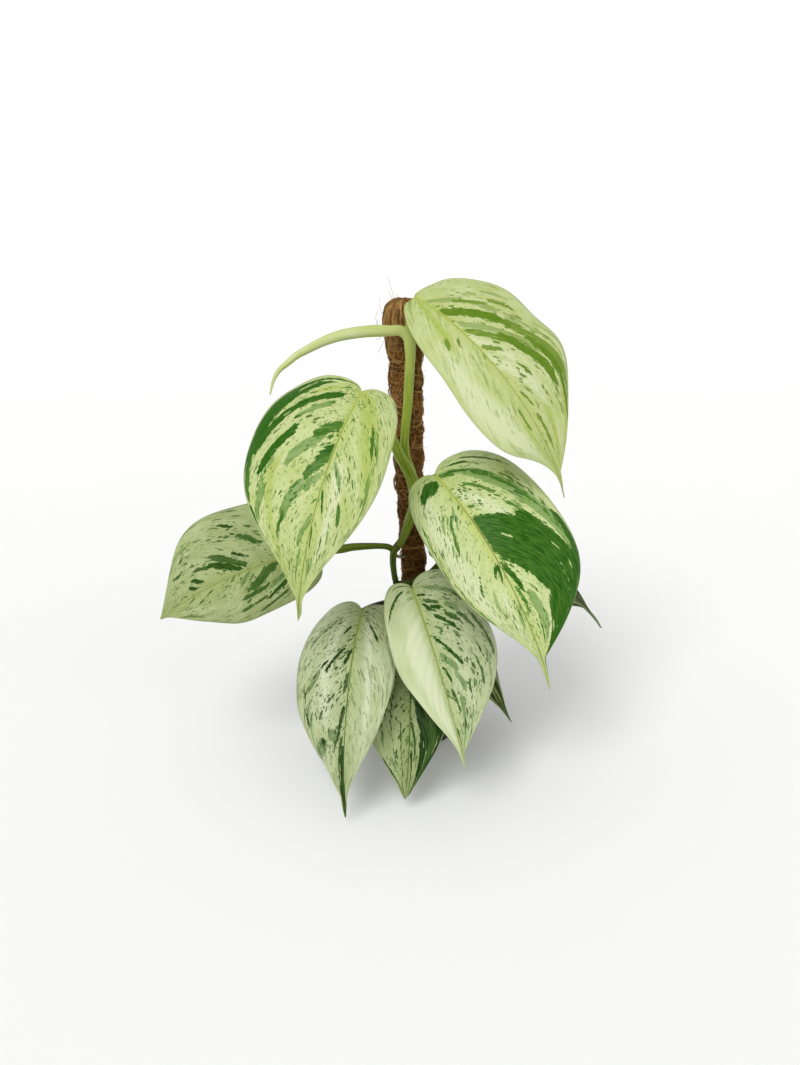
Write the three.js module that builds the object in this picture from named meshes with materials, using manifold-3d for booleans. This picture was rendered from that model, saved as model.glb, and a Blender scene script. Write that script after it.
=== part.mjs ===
// Potted variegated scindapsus: a climbing aroid on a coir pole, in a plain nursery pot.
// Millimetres, +Z up, the front of the plant faces -Y.
// The origin is the middle of the flat base of the pot.
import * as THREE from 'three';
import { mergeVertices } from 'three/addons/utils/BufferGeometryUtils.js';
import Module from 'manifold-3d';

const wasm = await Module();
wasm.setup();

// Driving dimensions, in millimetres and degrees.
const GAP = 0.3;
const POT = {
  height: 76, rimRadius: 45, baseRadius: 31, wall: 1.6, floor: 2.4,
  lipHeight: 9, lipDepth: 1.6, cornerRadius: 2, drainCount: 6, drainCircle: 21, drainRadius: 3,
};
const MIX = { surface: 67, bottom: 3.2, crown: 2.5 };
const POLE = {
  foot: 12, top: 294, footX: 4, topX: -8, pinchPitch: 17, pinchDepth: 0.9, domeHeight: 7,
  girth: [[12, 7.4], [122, 7.6], [187, 8.5], [240, 10.0], [262, 10.7], [287, 11.2]],
};
const BLADE = { thickness: 1.0, rows: 16, columns: 4, waveHeight: 0.9, waves: 3.5 };

// The nine open leaves. base is the notch where the stalk joins, heading turns from the front
// (-Y) toward +X, pitch and roll set the blade there, droop and sweep bend the midrib over its
// length. Each half has its own width, lobe and place of greatest width, with a base where its
// lobe is narrower than usual and a shoulder where it narrows late toward the tip.
const LEAVES = [
  {
    name: 'leaf_top_right', base: [-1.2, -16, 298], heading: 41, pitch: -12, roll: 21,
    length: 163, dripTip: 20, droop: 86.5, sweep: 7.4, fold: 2, curl: 27,
    left: { width: 30.6, lobe: -2, widest: 0.512, shoulder: 0.2, base: 0.2 },
    right: { width: 54, lobe: 2.5, widest: 0.382, shoulder: 0.35 },
  },
  {
    name: 'leaf_upper_left', base: [-31, -52, 250], heading: -21, pitch: -20, roll: -14,
    length: 146, dripTip: 16, droop: 79, sweep: 8, fold: 2, curl: 36,
    left: { width: 54, lobe: 9, widest: 0.34 }, right: { width: 31, lobe: 7, widest: 0.34 },
  },
  {
    name: 'leaf_middle_right', base: [12, -38, 195], heading: 30, pitch: -14, roll: 34,
    length: 158, dripTip: 25, droop: 80, sweep: -22, fold: 2, curl: 48,
    left: { width: 34, lobe: 7, widest: 0.32, shoulder: 0.35 },
    right: { width: 52.5, lobe: 8, widest: 0.43, shoulder: 0.75 },
  },
  {
    name: 'leaf_far_left', base: [-63, -26, 141], heading: -42, pitch: 12, roll: -68,
    length: 115, dripTip: 5, droop: 81, sweep: 33, fold: 9, curl: 48,
    left: { width: 42, lobe: 12, widest: 0.48 }, right: { width: 32, lobe: 5, widest: 0.46 },
  },
  {
    name: 'leaf_lower_left', base: [-33, -44, 108], heading: -9, pitch: -13, roll: 13,
    length: 137, dripTip: 16, droop: 80, sweep: -16, fold: 4, curl: 36,
    left: { width: 42, lobe: 11, widest: 0.3 }, right: { width: 27, lobe: 5, widest: 0.32 },
  },
  {
    name: 'leaf_lower_front', base: [-2, -52, 127], heading: 25, pitch: -40, roll: -2,
    length: 114, dripTip: 10, droop: 9, sweep: -4, fold: 4, curl: 41,
    left: { width: 25, lobe: 5, widest: 0.34 }, right: { width: 54, lobe: 11, widest: 0.26 },
  },
  {
    name: 'leaf_lowest', base: [-4, -38, 83], heading: 3, pitch: -8, roll: 0,
    length: 108, dripTip: 5, droop: 80, sweep: -7, fold: 10, curl: 23, tipCurl: 30,
    left: { width: 39, lobe: 9, widest: 0.26 }, right: { width: 26, lobe: 8, widest: 0.36 },
  },
  {
    name: 'leaf_back_right', base: [25, 10, 131], heading: 64, pitch: 5, roll: -3,
    length: 120, dripTip: 18, droop: 61, sweep: 27, fold: 9, curl: 24,
    left: { width: 41, lobe: 8, widest: 0.44 }, right: { width: 43, lobe: 9, widest: 0.36 },
  },
  {
    name: 'leaf_lower_right', base: [30, -26, 115], heading: 9, pitch: -48, roll: -10,
    length: 91, dripTip: 12, droop: 10, sweep: 32, fold: 3, curl: 40,
    left: { width: 16, lobe: 6, widest: 0.36 }, right: { width: 15, lobe: 6, widest: 0.28 },
  },
];

// The climbing stem, from under the potting mix to the node below the top leaf.
const STEM_ROUTE = [
  [-8, -14, 50], [-9, -14, 72], [-10.5, -15, 94], [-11.9, -15.5, 113], [-13.2, -15.5, 121],
  [-13.9, -15.5, 129], [-13.2, -15.5, 136.5], [-8.8, -15.5, 143], [-5.4, -15.5, 151],
  [-2.8, -15.5, 160], [-0.6, -15.5, 169], [0, -15.5, 178],
];
const STEM_RADII = [3.0, 3.0, 2.8, 2.5, 2.1, 1.8, 1.9, 2.2, 2.6, 3.1, 3.2, 3.8];

// Leaf stalks: their route from the stem, and their radius at the stem and at the blade.
const STALKS = [
  {
    leaf: 'leaf_top_right', radii: [3.4, 2.9, 2.75, 2.9, 3.0, 3.0, 2.3], fromBelow: true,
    route: [[0, -15.5, 177], [-2.4, -15.8, 189], [-6.2, -16, 202], [-6.3, -16, 216],
      [-5, -15.8, 230], [-4.3, -15.6, 241], [-3.5, -15.6, 258], [-3.1, -16, 270],
      [-3.2, -15.6, 284]],
  },
  {
    leaf: 'leaf_upper_left', radii: [3.8, 3.6, 3.2, 2.8, 2.4],
    route: [[0, -16.5, 177], [-3, -17.8, 189], [-8.8, -20.5, 201], [-13, -26, 212],
      [-17, -34, 223], [-22.5, -43, 236]],
  },
  {
    leaf: 'leaf_middle_right', radii: [3.1, 2.8, 2.4],
    route: [[-4, -15.8, 156], [-1, -23, 168], [4, -31, 181]],
  },
  {
    leaf: 'leaf_far_left', radii: [2.0, 1.9, 2.3, 2.7, 2.9, 2.4],
    route: [[-13.2, -15.5, 136.5], [-16.5, -16.3, 139.6], [-22, -17.5, 140.9],
      [-31, -19.5, 141.6], [-40, -22, 142], [-47, -23.5, 141.3]],
  },
  {
    leaf: 'leaf_lower_front', radii: [2.2, 2.5, 2.3],
    route: [[-10.6, -15, 96], [-10, -24, 108], [-7, -36, 118]],
  },
  {
    leaf: 'leaf_lower_left', radii: [2.8, 2.7, 2.3],
    route: [[-9, -14, 75], [-16, -17, 89], [-25, -26, 100]],
  },
  {
    leaf: 'leaf_lowest', radii: [2.8, 2.6, 2.2],
    route: [[-9, -14, 64], [-8, -20, 72], [-6, -28, 77]],
  },
  {
    leaf: 'leaf_back_right', radii: [1.8, 2.1, 2.2],
    route: [[-12, -15.5, 114], [-4, -17.5, 115], [8, -17, 120], [18, -9, 127], [22, 2, 129]],
  },
  {
    leaf: 'leaf_lower_right', radii: [2.4, 2.4, 2.2],
    route: [[-9.8, -14.5, 84], [0, -19, 88], [13, -19, 97], [23, -18, 107]],
  },
];

// The rolled new leaf, which leaves the sheath of the top stalk and droops to the left.
const NEW_LEAF_ROUTE = [
  [-9.5, -17, 278.3], [-16, -18.5, 278.6], [-27, -21, 279], [-36, -23, 278.4],
  [-45, -25, 277], [-54, -27, 274.2], [-62, -30, 270.8], [-69, -32, 267.2], [-75, -34, 262.7],
  [-80, -36, 258], [-83, -38, 253], [-85, -40, 245.5],
];
const NEW_LEAF_RADII = [3.0, 3.3, 3.3, 3.2, 2.9, 2.5, 2.2, 1.9, 1.6, 1.2, 0.9, 0.4];

// Short pale aerial roots that leave the nodes and reach back to the pole.
const AERIAL_ROOTS = [
  { route: [[-13, -15.5, 134], [-10, -11.5, 131], [-6.2, -7.2, 129]], radii: [1.3, 1.0, 0.7] },
  { route: [[-8.8, -15.5, 144], [-8.5, -11.5, 142], [-6.6, -7.4, 139]], radii: [1.2, 1.0, 0.7] },
  { route: [[-2.8, -15.5, 160], [0.5, -12.5, 158], [1.2, -8.6, 156]], radii: [1.3, 1.1, 0.8] },
  { route: [[0, -15.5, 176], [4.4, -13.5, 174], [4.4, -8, 171.5]], radii: [1.3, 1.1, 0.8] },
  { route: [[-12, -15.5, 112], [-10, -11.5, 110], [-5.6, -6.8, 107]], radii: [1.3, 1.0, 0.7] },
];

const degrees = THREE.MathUtils.degToRad;
const vector = (p) => new THREE.Vector3(...p);

// Solids for joining and cutting, and back again.
function toSolid(geometry) {
  const bare = geometry.clone();
  bare.deleteAttribute('normal');
  bare.deleteAttribute('uv');
  const merged = mergeVertices(bare, 1e-4);
  return new wasm.Manifold(new wasm.Mesh({
    numProp: 3,
    vertProperties: new Float32Array(merged.attributes.position.array),
    triVerts: new Uint32Array(merged.index.array),
  }));
}

function toGeometry(solid) {
  const mesh = solid.getMesh();
  const geometry = new THREE.BufferGeometry();
  geometry.setAttribute('position', new THREE.BufferAttribute(mesh.vertProperties, 3));
  geometry.setIndex(new THREE.BufferAttribute(mesh.triVerts, 1));
  geometry.computeVertexNormals();
  return geometry;
}

function closedGeometry(points, triangles) {
  const geometry = new THREE.BufferGeometry();
  geometry.setAttribute('position', new THREE.Float32BufferAttribute(points.flat(), 3));
  geometry.setIndex(triangles.flat());
  geometry.computeVertexNormals();
  return geometry;
}

// A closed tube through a route of points, with a radius that follows a short list.
function stalkTube(route, radii, sides, steps, swell = 0) {
  const curve = new THREE.CatmullRomCurve3(route.map(vector), false, 'centripetal');
  const frames = curve.computeFrenetFrames(steps, false);
  const points = [];
  const triangles = [];
  for (let i = 0; i <= steps; i += 1) {
    const t = i / steps;
    const place = t * (radii.length - 1);
    const from = Math.min(Math.floor(place), radii.length - 2);
    const radius = THREE.MathUtils.lerp(radii[from], radii[from + 1], place - from) + swell;
    const centre = curve.getPointAt(t);
    for (let k = 0; k < sides; k += 1) {
      const angle = (2 * Math.PI * k) / sides;
      const spoke = frames.normals[i].clone().multiplyScalar(Math.cos(angle) * radius)
        .addScaledVector(frames.binormals[i], Math.sin(angle) * radius);
      points.push(centre.clone().add(spoke).toArray());
    }
  }
  const startHub = points.push(curve.getPointAt(0).toArray()) - 1;
  const endHub = points.push(curve.getPointAt(1).toArray()) - 1;
  for (let k = 0; k < sides; k += 1) {
    const next = (k + 1) % sides;
    for (let i = 0; i < steps; i += 1) {
      const a = i * sides + k;
      const b = i * sides + next;
      triangles.push([a, b, b + sides], [a, b + sides, a + sides]);
    }
    triangles.push([startHub, next, k]);
    triangles.push([endHub, steps * sides + k, steps * sides + next]);
  }
  return closedGeometry(points, triangles);
}

// The outline of one half of a blade, flat: from the notch round the lobe and out to the tip.
function halfOutline(leaf, half, steps) {
  const { length, dripTip } = leaf;
  const { width, lobe, widest, shoulder = 0, base = 0.42 } = half;
  const corner = (x, y) => new THREE.Vector2(x, y);
  const notch = corner(0, 0);
  const lobeBack = corner(-lobe, base * width);
  const broadest = corner(widest * length, width);
  const neck = corner(length - dripTip, 2.2);
  const tip = corner(length, 0);
  const outline = new THREE.CurvePath();
  outline.add(new THREE.CubicBezierCurve(
    notch, corner(-0.55 * lobe, 0.1 * base * width), corner(-lobe, 0.38 * base * width), lobeBack,
  ));
  outline.add(new THREE.CubicBezierCurve(
    lobeBack, corner(-lobe, (base + 0.38) * width), corner(0.45 * widest * length, width), broadest,
  ));
  outline.add(new THREE.CubicBezierCurve(
    broadest, corner((widest + 0.25) * length, width),
    corner((0.8 + 0.08 * shoulder) * length - dripTip, 2.2 + (0.3 + 0.12 * shoulder) * width), neck,
  ));
  outline.add(new THREE.CubicBezierCurve(
    neck, corner(length - 0.72 * dripTip, 1.4), corner(length - 0.35 * dripTip, 1.0), tip,
  ));
  return outline.getSpacedPoints(steps);
}

// The midrib as a bent line with its own frame: along, across to the right, and up.
function midrib(leaf, steps = 60) {
  const heading = degrees(leaf.heading);
  const pitch = degrees(leaf.pitch);
  let along = new THREE.Vector3(
    Math.cos(pitch) * Math.sin(heading), -Math.cos(pitch) * Math.cos(heading), Math.sin(pitch),
  );
  let across = new THREE.Vector3(Math.cos(heading), Math.sin(heading), 0);
  across.applyAxisAngle(along, degrees(leaf.roll));
  let up = along.clone().cross(across);
  const position = vector(leaf.base);
  const stations = [{ position: position.clone(), along, across, up }];
  const sweep = degrees(leaf.sweep) / steps;
  const tipShare = leaf.dripTip / leaf.length;
  for (let i = 0; i < steps; i += 1) {
    const inTip = (i + 0.5) / steps > 1 - tipShare;
    const droop = degrees(leaf.droop + (inTip ? (leaf.tipCurl ?? 0) / tipShare : 0)) / steps;
    along = along.clone().applyAxisAngle(across, droop);
    up = up.clone().applyAxisAngle(across, droop);
    along = along.clone().applyAxisAngle(up, sweep);
    across = across.clone().applyAxisAngle(up, sweep);
    position.addScaledVector(along, leaf.length / steps);
    stations.push({ position: position.clone(), along, across, up });
  }
  return stations;
}

// A point of the bent blade for its flat place: a along the midrib, b across (left is below 0).
function bladePoint(leaf, stations, a, b, edge = 0, turn = 0) {
  const last = stations.length - 1;
  const place = (Math.min(Math.max(a, 0), leaf.length) / leaf.length) * last;
  const from = Math.min(Math.floor(place), last - 1);
  const mix = place - from;
  const blend = (key) => stations[from][key].clone().lerp(stations[from + 1][key], mix);
  const half = b < 0 ? leaf.left : leaf.right;
  const bend = degrees(leaf.curl) / half.width;
  const fold = degrees(leaf.fold);
  const reach = Math.abs(b);
  const out = (Math.sin(fold) - Math.sin(fold - bend * reach)) / bend;
  const rise = (Math.cos(fold - bend * reach) - Math.cos(fold)) / bend;
  const wave = BLADE.waveHeight * edge * edge * Math.sin(2 * Math.PI * BLADE.waves * turn);
  const point = blend('position');
  point.addScaledVector(blend('along'), Math.min(a, 0));
  point.addScaledVector(blend('across'), Math.sign(b) * out);
  point.addScaledVector(blend('up'), rise + wave);
  return point;
}

// A whole blade as a thin closed solid. Its rows follow the side veins out of the midrib.
function bladeGeometry(leaf, swell = 0) {
  const { rows, columns } = BLADE;
  const stations = midrib(leaf);
  const outlines = {
    left: halfOutline(leaf, leaf.left, rows),
    right: halfOutline(leaf, leaf.right, rows),
  };
  const thickness = BLADE.thickness / 2 + swell;
  const flat = (row, column) => {
    const turn = row / rows;
    const side = column < 0 ? 'left' : 'right';
    const share = Math.abs(column) / columns;
    const root = leaf.length * turn ** 1.35;
    const rim = outlines[side][row];
    const grow = 1 + (swell * 2) / Math.max(rim.y, 6);
    return {
      a: root + (rim.x - root) * share,
      b: Math.sign(column) * rim.y * share * (share === 1 ? grow : 1),
      edge: share,
      turn: side === 'left' ? turn : turn + 0.37,
    };
  };
  const middle = (row, column) => {
    const { a, b, edge, turn } = flat(row, column);
    return bladePoint(leaf, stations, a, b, edge, turn);
  };
  const normalAt = (row, column) => {
    const { a, b, edge, turn } = flat(row, column);
    const side = Math.sign(b) || 1;
    const reach = 0.6;
    const centre = bladePoint(leaf, stations, a, b, edge, turn);
    const ahead = bladePoint(leaf, stations, a + reach, b, edge, turn).sub(centre);
    if (column === 0) {
      const right = bladePoint(leaf, stations, a, reach, 0, turn);
      const left = bladePoint(leaf, stations, a, -reach, 0, turn);
      return ahead.cross(right.sub(left)).normalize();
    }
    const outward = bladePoint(leaf, stations, a, b + side * reach, edge, turn).sub(centre);
    return ahead.cross(outward.multiplyScalar(side)).normalize();
  };
  const points = [];
  const triangles = [];
  const topIndex = new Map();
  const underIndex = new Map();
  const key = (row, column) => ((row === 0 || row === rows) ? `${row}` : `${row},${column}`);
  for (let row = 0; row <= rows; row += 1) {
    for (let column = -columns; column <= columns; column += 1) {
      const id = key(row, column);
      if (!topIndex.has(id)) {
        const tipRow = row === 0 || row === rows;
        const centre = middle(row, tipRow ? 0 : column);
        const normal = normalAt(Math.min(Math.max(row, 1), rows - 1), tipRow ? 0 : column);
        const above = centre.clone().addScaledVector(normal, thickness);
        const below = centre.clone().addScaledVector(normal, -thickness);
        topIndex.set(id, points.push(above.toArray()) - 1);
        underIndex.set(id, points.push(below.toArray()) - 1);
      }
    }
  }
  const face = (a, b, c) => {
    if (new Set([a, b, c]).size < 3) return;
    const tops = [a, b, c].map((id) => topIndex.get(id));
    const unders = [a, b, c].map((id) => underIndex.get(id));
    triangles.push([tops[0], tops[2], tops[1]], unders);
  };
  for (let row = 0; row < rows; row += 1) {
    for (let column = -columns; column < columns; column += 1) {
      const near = [key(row, column), key(row, column + 1)];
      const far = [key(row + 1, column), key(row + 1, column + 1)];
      if (column < 0) {
        face(near[0], far[1], far[0]);
        face(near[0], near[1], far[1]);
      } else {
        face(near[0], near[1], far[0]);
        face(near[1], far[1], far[0]);
      }
    }
    for (const side of [-1, 1]) {
      const from = key(row, side * columns);
      const to = key(row + 1, side * columns);
      const rim = [topIndex.get(from), topIndex.get(to), underIndex.get(to), underIndex.get(from)];
      const turned = side > 0 ? rim : [rim[1], rim[0], rim[3], rim[2]];
      triangles.push([turned[0], turned[2], turned[3]], [turned[0], turned[1], turned[2]]);
    }
  }
  return closedGeometry(points, triangles);
}

// Where a stalk meets the underside of its blade, just past the notch. The top stalk comes up
// from below, so it stays hidden under the blade.
function stalkEnds(leaf, stalk) {
  const stations = midrib(leaf);
  const seat = stations[1];
  const below = BLADE.thickness / 2 + GAP + stalk.radii[stalk.radii.length - 1];
  if (stalk.fromBelow) {
    return [stations[3].position.clone().addScaledVector(stations[3].up, -GAP).toArray()];
  }
  const approach = stations[0].position.clone().addScaledVector(seat.along, -3)
    .addScaledVector(seat.up, -below - 1.5);
  const end = stations[2].position.clone().addScaledVector(seat.up, -below);
  return [approach.toArray(), end.toArray()];
}

// The pole's mean radius at a height, between the heights where its girth is given.
function girthAt(z) {
  const after = POLE.girth.findIndex(([height]) => height >= z);
  const [high, wide] = POLE.girth[Math.max(after, 1)];
  const [low, narrow] = POLE.girth[Math.max(after, 1) - 1];
  return THREE.MathUtils.mapLinear(z, low, high, narrow, wide);
}

// The pole: coir wound tight on itself, pinched at each turn of its thread, with a folded top.
function poleGeometry(swell = 0) {
  const sides = 16;
  const profile = [new THREE.Vector2(0, POLE.foot)];
  const levels = 32;
  const shoulder = POLE.top - POLE.domeHeight;
  for (let i = 0; i <= levels; i += 1) {
    const z = THREE.MathUtils.lerp(POLE.foot, shoulder, i / levels);
    const turn = (Math.PI * (shoulder - z)) / POLE.pinchPitch;
    const pinch = POLE.pinchDepth * Math.abs(Math.cos(turn)) ** 4;
    profile.push(new THREE.Vector2(girthAt(z) - pinch + POLE.pinchDepth / 2 + swell, z));
  }
  for (const [share, lift] of [[0.86, 0.55], [0.55, 0.9]]) {
    const radius = girthAt(shoulder) * share + swell;
    profile.push(new THREE.Vector2(radius, shoulder + POLE.domeHeight * lift));
  }
  profile.push(new THREE.Vector2(0, POLE.top + swell));
  const geometry = new THREE.LatheGeometry(profile, sides);
  geometry.rotateX(Math.PI / 2);
  const position = geometry.attributes.position;
  for (let i = 0; i < position.count; i += 1) {
    const z = position.getZ(i);
    const lean = (z - POLE.foot) / (POLE.top - POLE.foot);
    position.setX(i, position.getX(i) + THREE.MathUtils.lerp(POLE.footX, POLE.topX, lean));
  }
  return geometry;
}

function potProfile() {
  const { height, rimRadius, baseRadius, wall, floor, lipHeight, lipDepth, cornerRadius } = POT;
  const slope = (rimRadius - lipDepth - baseRadius) / height;
  const outer = (z) => baseRadius + slope * z;
  return [
    [0, 0], [baseRadius - cornerRadius, 0], [outer(cornerRadius), cornerRadius],
    [outer(height - lipHeight), height - lipHeight],
    [outer(height - lipHeight) + lipDepth, height - lipHeight + 0.8],
    [rimRadius - 0.8, height - 0.8], [rimRadius - 1.2, height],
    [rimRadius - lipDepth - wall + 0.6, height],
    [rimRadius - lipDepth - wall, height - 0.8],
    [outer(floor) - wall, floor], [0, floor],
  ].map(([r, z]) => new THREE.Vector2(r, z));
}

function upright(geometry) {
  return geometry.rotateX(Math.PI / 2);
}

function potGeometry() {
  let pot = toSolid(upright(new THREE.LatheGeometry(potProfile(), 40)));
  for (let i = 0; i < POT.drainCount; i += 1) {
    const angle = (2 * Math.PI * i) / POT.drainCount;
    const drain = new THREE.CylinderGeometry(POT.drainRadius, POT.drainRadius, 3 * POT.floor, 10);
    upright(drain).translate(
      POT.drainCircle * Math.cos(angle), POT.drainCircle * Math.sin(angle), POT.floor / 2,
    );
    pot = pot.subtract(toSolid(drain));
  }
  return toGeometry(pot);
}

// Potting mix: it fills the pot to just under the lip and is a little higher in the middle.
function mixGeometry(holes) {
  const { rimRadius, baseRadius, lipDepth, wall, height } = POT;
  const slope = (rimRadius - lipDepth - baseRadius) / height;
  const inner = (z) => baseRadius + slope * z - wall - GAP;
  const profile = [
    [0, MIX.bottom], [inner(MIX.bottom), MIX.bottom], [inner(MIX.surface - 1.5), MIX.surface - 1.5],
    [inner(MIX.surface) - 2.5, MIX.surface], [0.62 * rimRadius, MIX.surface + 0.5 * MIX.crown],
    [0.4 * rimRadius, MIX.surface + MIX.crown], [0, MIX.surface + MIX.crown],
  ].map(([r, z]) => new THREE.Vector2(r, z));
  let mix = toSolid(upright(new THREE.LatheGeometry(profile, 30)));
  for (const hole of holes) mix = mix.subtract(toSolid(hole));
  return toGeometry(mix);
}

const vineTubes = (swell = 0) => {
  const tubes = [stalkTube(STEM_ROUTE, STEM_RADII, 8, 28, swell)];
  for (const stalk of STALKS) {
    const leaf = LEAVES.find((item) => item.name === stalk.leaf);
    const route = [...stalk.route, ...stalkEnds(leaf, stalk)];
    tubes.push(stalkTube(route, stalk.radii, 7, 2 + 2 * route.length, swell));
  }
  for (const root of AERIAL_ROOTS) tubes.push(stalkTube(root.route, root.radii, 5, 4, swell));
  return tubes;
};

function sheathCollar(swell = 0) {
  const route = [[-3.4, -16, 272], [-5, -16.5, 277.5], [-9.2, -17, 279.5]];
  return stalkTube(route, [3.4, 3.9, 3.5], 8, 5, swell);
}

function vineGeometry() {
  let vine = toSolid(vineTubes()[0]);
  for (const tube of [...vineTubes().slice(1), sheathCollar()]) vine = vine.add(toSolid(tube));
  vine = vine.subtract(toSolid(poleGeometry(GAP)));
  for (const leaf of LEAVES) vine = vine.subtract(toSolid(bladeGeometry(leaf, GAP)));
  vine = vine.subtract(toSolid(stalkTube(NEW_LEAF_ROUTE, NEW_LEAF_RADII, 8, 26, GAP)));
  const bodies = vine.decompose().sort((a, b) => b.volume() - a.volume());
  return toGeometry(bodies[0]);
}

// Colours of each piece.
const satin = (color, roughness) => new THREE.MeshStandardMaterial({ color, roughness, metalness: 0 });
const MATERIALS = {
  pot: satin(0x2b2019, 0.6),
  mix: satin(0x2e2118, 0.95),
  coir: satin(0x5a3a22, 0.95),
  stem: satin(0x8fa655, 0.5),
  newLeaf: satin(0xc9d79a, 0.45),
  paleLeaf: satin(0xc3cf9c, 0.45),
  greenLeaf: satin(0x7f9a5e, 0.45),
};
const GREENER_LEAVES = ['leaf_lowest', 'leaf_back_right', 'leaf_lower_right'];

const plant = new THREE.Group();
function place(name, geometry, material) {
  const mesh = new THREE.Mesh(geometry, material);
  mesh.name = name;
  plant.add(mesh);
}

const holeAlong = (route, radius) => stalkTube(route, [radius, radius], 10, 8);
const stemHole = holeAlong([[-7.6, -14, 44], [-8, -14, 50], [-9, -14, 72], [-10.5, -15, 94]], 3.5);
const stalkHole = holeAlong([[-9, -14, 62], [-8, -20, 74], [-7, -24, 79]], 3.4);

place('pot', potGeometry(), MATERIALS.pot);
place('potting_mix', mixGeometry([poleGeometry(GAP), stemHole, stalkHole]), MATERIALS.mix);
place('coir_pole', toGeometry(toSolid(poleGeometry())), MATERIALS.coir);
place('vine_and_stalks', vineGeometry(), MATERIALS.stem);
place('new_rolled_leaf', stalkTube(NEW_LEAF_ROUTE, NEW_LEAF_RADII, 8, 26), MATERIALS.newLeaf);
for (const leaf of LEAVES) {
  const material = GREENER_LEAVES.includes(leaf.name) ? MATERIALS.greenLeaf : MATERIALS.paleLeaf;
  place(leaf.name, bladeGeometry(leaf), material);
}

export default plant;
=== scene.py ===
import math
from collections import namedtuple

import bpy
import numpy as np
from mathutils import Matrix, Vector, geometry, noise


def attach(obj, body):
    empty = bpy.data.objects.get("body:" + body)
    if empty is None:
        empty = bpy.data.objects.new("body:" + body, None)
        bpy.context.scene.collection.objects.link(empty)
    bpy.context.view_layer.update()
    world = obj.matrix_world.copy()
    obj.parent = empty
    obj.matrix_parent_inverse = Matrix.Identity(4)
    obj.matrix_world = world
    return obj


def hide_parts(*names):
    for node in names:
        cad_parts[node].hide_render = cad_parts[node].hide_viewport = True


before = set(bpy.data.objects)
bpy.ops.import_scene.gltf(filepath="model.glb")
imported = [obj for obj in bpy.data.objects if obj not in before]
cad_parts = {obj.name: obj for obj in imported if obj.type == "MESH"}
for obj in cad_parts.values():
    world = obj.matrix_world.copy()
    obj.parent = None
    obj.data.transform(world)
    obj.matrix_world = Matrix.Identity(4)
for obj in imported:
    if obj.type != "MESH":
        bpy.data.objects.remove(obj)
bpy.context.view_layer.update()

MM = 0.001
CIRCLE = 2 * math.pi
random = np.random.default_rng(41)

# Sizes shared with the part, in millimetres and degrees.
POT = dict(height=76, rim_radius=45, base_radius=31, wall=1.6, floor=2.4, lip_height=9,
           lip_depth=1.6, corner=2, drains=6, drain_circle=21, drain_radius=3)
MIX = dict(surface=67, bottom=3.2, crown=2.5, gap=0.3)
POLE = dict(foot=12, top=294, foot_x=4, top_x=-8, first_pinch=7, pinch_pitch=17, pinch_depth=0.9,
            dome=10, girth=[(12, 7.4), (122, 7.6), (187, 8.5), (240, 10.0), (257, 10.0),
                            (268, 11.1), (287, 11.3)])
BLADE = dict(thickness=0.8, wave=0.9, waves=3.5, rows=132, columns=28)

# A half of a blade: its breadth, how far its lobe reaches back past the notch, where along the blade
# it is broadest, how full it stays toward the tip, and how broad it is at the lobe.
Half = namedtuple("Half", "width lobe widest shoulder base", defaults=[0, 0.42])
# A leaf is turned about its base, the notch, by heading, pitch and roll. Droop and sweep bend its
# midrib on the way to the drip tip. Fold lifts its halves, and curl bends them down again.
Leaf = namedtuple("Leaf", ["name", "base", "heading", "pitch", "roll", "length", "drip", "droop",
                           "sweep", "fold", "curl", "tip_curl", "left", "right"])
LEAVES = [
    Leaf("leaf_top_right", (-1.2, -16, 298), 41, -12, 21, 163, 20, 86.5, 7.4, 2, 27, 0,
         Half(30.6, -2, 0.512, 0.2, 0.2), Half(54, 2.5, 0.382, 0.35)),
    Leaf("leaf_upper_left", (-31, -52, 250), -21, -20, -14, 146, 16, 79, 8, 2, 36, 0,
         Half(54, 9, 0.34), Half(31, 7, 0.34)),
    Leaf("leaf_middle_right", (12, -38, 195), 30, -14, 34, 158, 25, 80, -22, 2, 48, 0,
         Half(34, 7, 0.32, 0.35), Half(52.5, 8, 0.43, 0.75)),
    Leaf("leaf_far_left", (-63, -26, 141), -42, 12, -68, 115, 5, 81, 33, 9, 48, 0,
         Half(42, 12, 0.48), Half(32, 5, 0.46)),
    Leaf("leaf_lower_left", (-33, -44, 108), -9, -13, 13, 137, 16, 80, -16, 4, 36, 0,
         Half(42, 11, 0.3), Half(27, 5, 0.32)),
    Leaf("leaf_lower_front", (-2, -52, 127), 25, -40, -2, 114, 10, 9, -4, 4, 41, 0,
         Half(25, 5, 0.34), Half(54, 11, 0.26)),
    Leaf("leaf_lowest", (-4, -38, 83), 3, -8, 0, 108, 5, 80, -7, 10, 23, 30,
         Half(39, 9, 0.26), Half(26, 8, 0.36)),
    Leaf("leaf_back_right", (25, 10, 131), 64, 5, -3, 120, 18, 61, 27, 9, 24, 0,
         Half(41, 8, 0.44), Half(43, 9, 0.36)),
    Leaf("leaf_lower_right", (30, -26, 115), 9, -48, -10, 91, 12, 10, 32, 3, 40, 0,
         Half(16, 6, 0.36), Half(15, 6, 0.28)),
]

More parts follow.
